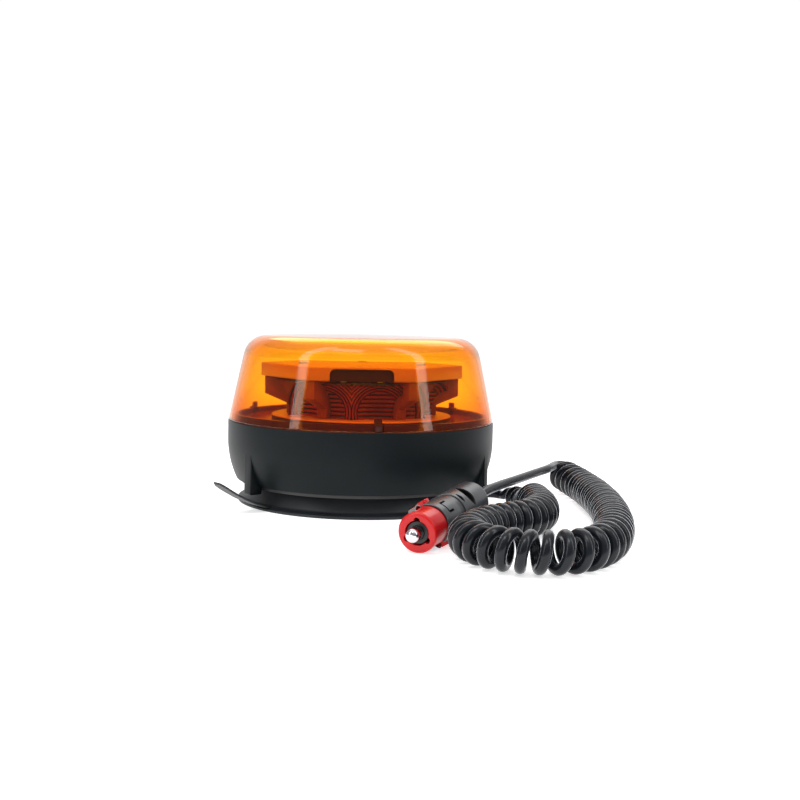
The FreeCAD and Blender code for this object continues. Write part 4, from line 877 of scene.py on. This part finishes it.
# Carried-over pieces
# Inner boards, screws, magnet, seals and the plug's inside keep their solids, screwed or seated in place.
# Metal, board, rubber and ferrite get a finish each, and the plug's pieces are listed.
steel = material("zinc_steel", (0.55, 0.55, 0.56), 0.32, metallic=1.0, vary=0.08)
green = material("green_board", (0.02, 0.13, 0.05), 0.35, vary=0.2)
white_board = material("white_board", (0.82, 0.82, 0.79), 0.4, vary=0.04)
phosphor = material("phosphor", (0.93, 0.78, 0.2), 0.3, vary=0.06)
anodised = material("black_anodised", (0.038, 0.005, 0.005), 0.45, metallic=0.2, vary=0.15, specular=0.1)
copper = material("copper_winding", (0.55, 0.24, 0.1), 0.3, metallic=1.0, vary=0.15)
sleeve = material("capacitor_sleeve", (0.08, 0.08, 0.11), 0.35, vary=0.15)
ferrite = material("ferrite", (0.07, 0.07, 0.07), 0.6, vary=0.2)
plate_black = material("plate_black", (0.03, 0.03, 0.031), 0.5, grain=0.3, vary=0.2)
glassy = material("fuse_body", (0.75, 0.77, 0.75), 0.1, vary=0.04)
CARRIED = {
    "lens_seal": black_rubber, "base_plate": plate_black, "base_seal": black_rubber, "base_screws": steel,
    "magnet_pot": steel, "magnet_ring": ferrite, "magnet_bolt": steel, "driver_board": green,
    "board_screws": steel, "inductor": copper, "capacitors": sleeve, "led_board": white_board,
    "led_chips": phosphor, "heat_sink": anodised, "cover_screws": steel, "cable_boot": black_rubber,
    "nose_contact": chrome, "plug_fuse": glassy, "contact_spring": steel}
for node, made in CARRIED.items():
    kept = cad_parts[node]
    kept.data.materials.clear()
    kept.data.materials.append(made)

plug_pieces = [shell_front, shell_rear, nose, tip, ring, *clips]
plug_pieces += [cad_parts[n] for n in ("nose_contact", "plug_fuse", "contact_spring")]

# Stage
# Pale seamless floor and a bright backdrop that dims towards the front.
# Two tall strip lights beside the camera streak the lens; soft lights above and behind lift the cord.
bpy.context.scene.view_settings.view_transform = "Standard"
floor_data = bmesh.new()
bmesh.ops.create_grid(floor_data, x_segments=1, y_segments=1, size=6)
floor = finish_mesh("floor", floor_data)
floor_paint = bpy.data.materials.new("floor_white")
floor_paint.use_nodes = True
floor_shader = floor_paint.node_tree.nodes["Principled BSDF"]
floor_shader.inputs["Base Color"].default_value = (0.93, 0.93, 0.93, 1)
floor_shader.inputs["Roughness"].default_value = 0.7
floor_shader.inputs["Emission Color"].default_value = (1, 1, 1, 1)
floor_shader.inputs["Emission Strength"].default_value = 0.6
floor_shader.inputs["Specular IOR Level"].default_value = 0.1
floor.data.materials.append(floor_paint)
world = bpy.data.worlds.new("surround")
world.use_nodes = True
sky, sky_links = world.node_tree.nodes, world.node_tree.links
sky_where = sky.new("ShaderNodeTexCoord")
sky_split = sky.new("ShaderNodeSeparateXYZ")
sky_links.new(sky_where.outputs["Generated"], sky_split.inputs["Vector"])
sky_back = sky.new("ShaderNodeMapRange")
sky_back.inputs["From Min"].default_value = 0.58
sky_back.inputs["From Max"].default_value = 0.88
sky_back.inputs["To Min"].default_value = 0.3
sky_back.inputs["To Max"].default_value = 1.05
sky_links.new(sky_split.outputs["Y"], sky_back.inputs["Value"])
sky_top = sky.new("ShaderNodeMapRange")
sky_top.inputs["From Min"].default_value = 0.3
sky_top.inputs["To Max"].default_value = 1.1
sky_links.new(sky_split.outputs["Z"], sky_top.inputs["Value"])
sky_level = sky.new("ShaderNodeMath")
sky_level.operation = "MAXIMUM"
sky_links.new(sky_back.outputs["Result"], sky_level.inputs[0])
sky_links.new(sky_top.outputs["Result"], sky_level.inputs[1])
sky_links.new(sky_level.outputs["Value"], sky["Background"].inputs["Strength"])
sky["Background"].inputs["Color"].default_value = (1, 1, 1, 1)
bpy.context.scene.world = world
LIT_SPOT = Vector((0, 0, 0.07))


def softbox(name, azimuth, elevation, distance, width, height, power):
    """An area lamp that faces the beacon from an azimuth counted from the front."""
    lamp = bpy.data.lights.new(name, "AREA")
    lamp.shape = "RECTANGLE"
    lamp.size = width
    lamp.size_y = height
    lamp.energy = power
    thing = bpy.data.objects.new(name, lamp)
    a, e = math.radians(azimuth), math.radians(elevation)
    toward = Vector((math.sin(a) * math.cos(e), -math.cos(a) * math.cos(e), math.sin(e)))
    thing.location = LIT_SPOT + toward * distance
    thing.rotation_euler = toward.to_track_quat("Z", "Y").to_euler()
    bpy.context.scene.collection.objects.link(thing)


softbox("left_strip", azimuth=-57, elevation=38, distance=1.3, width=0.22, height=1.7, power=6.2)
softbox("top_front", azimuth=-20, elevation=60, distance=1.2, width=0.45, height=0.3, power=2.5)
softbox("back_sky", azimuth=172, elevation=46, distance=1.5, width=1.6, height=0.9, power=7.5)
softbox("right_strip", azimuth=57, elevation=38, distance=1.3, width=0.22, height=1.7, power=6.2)
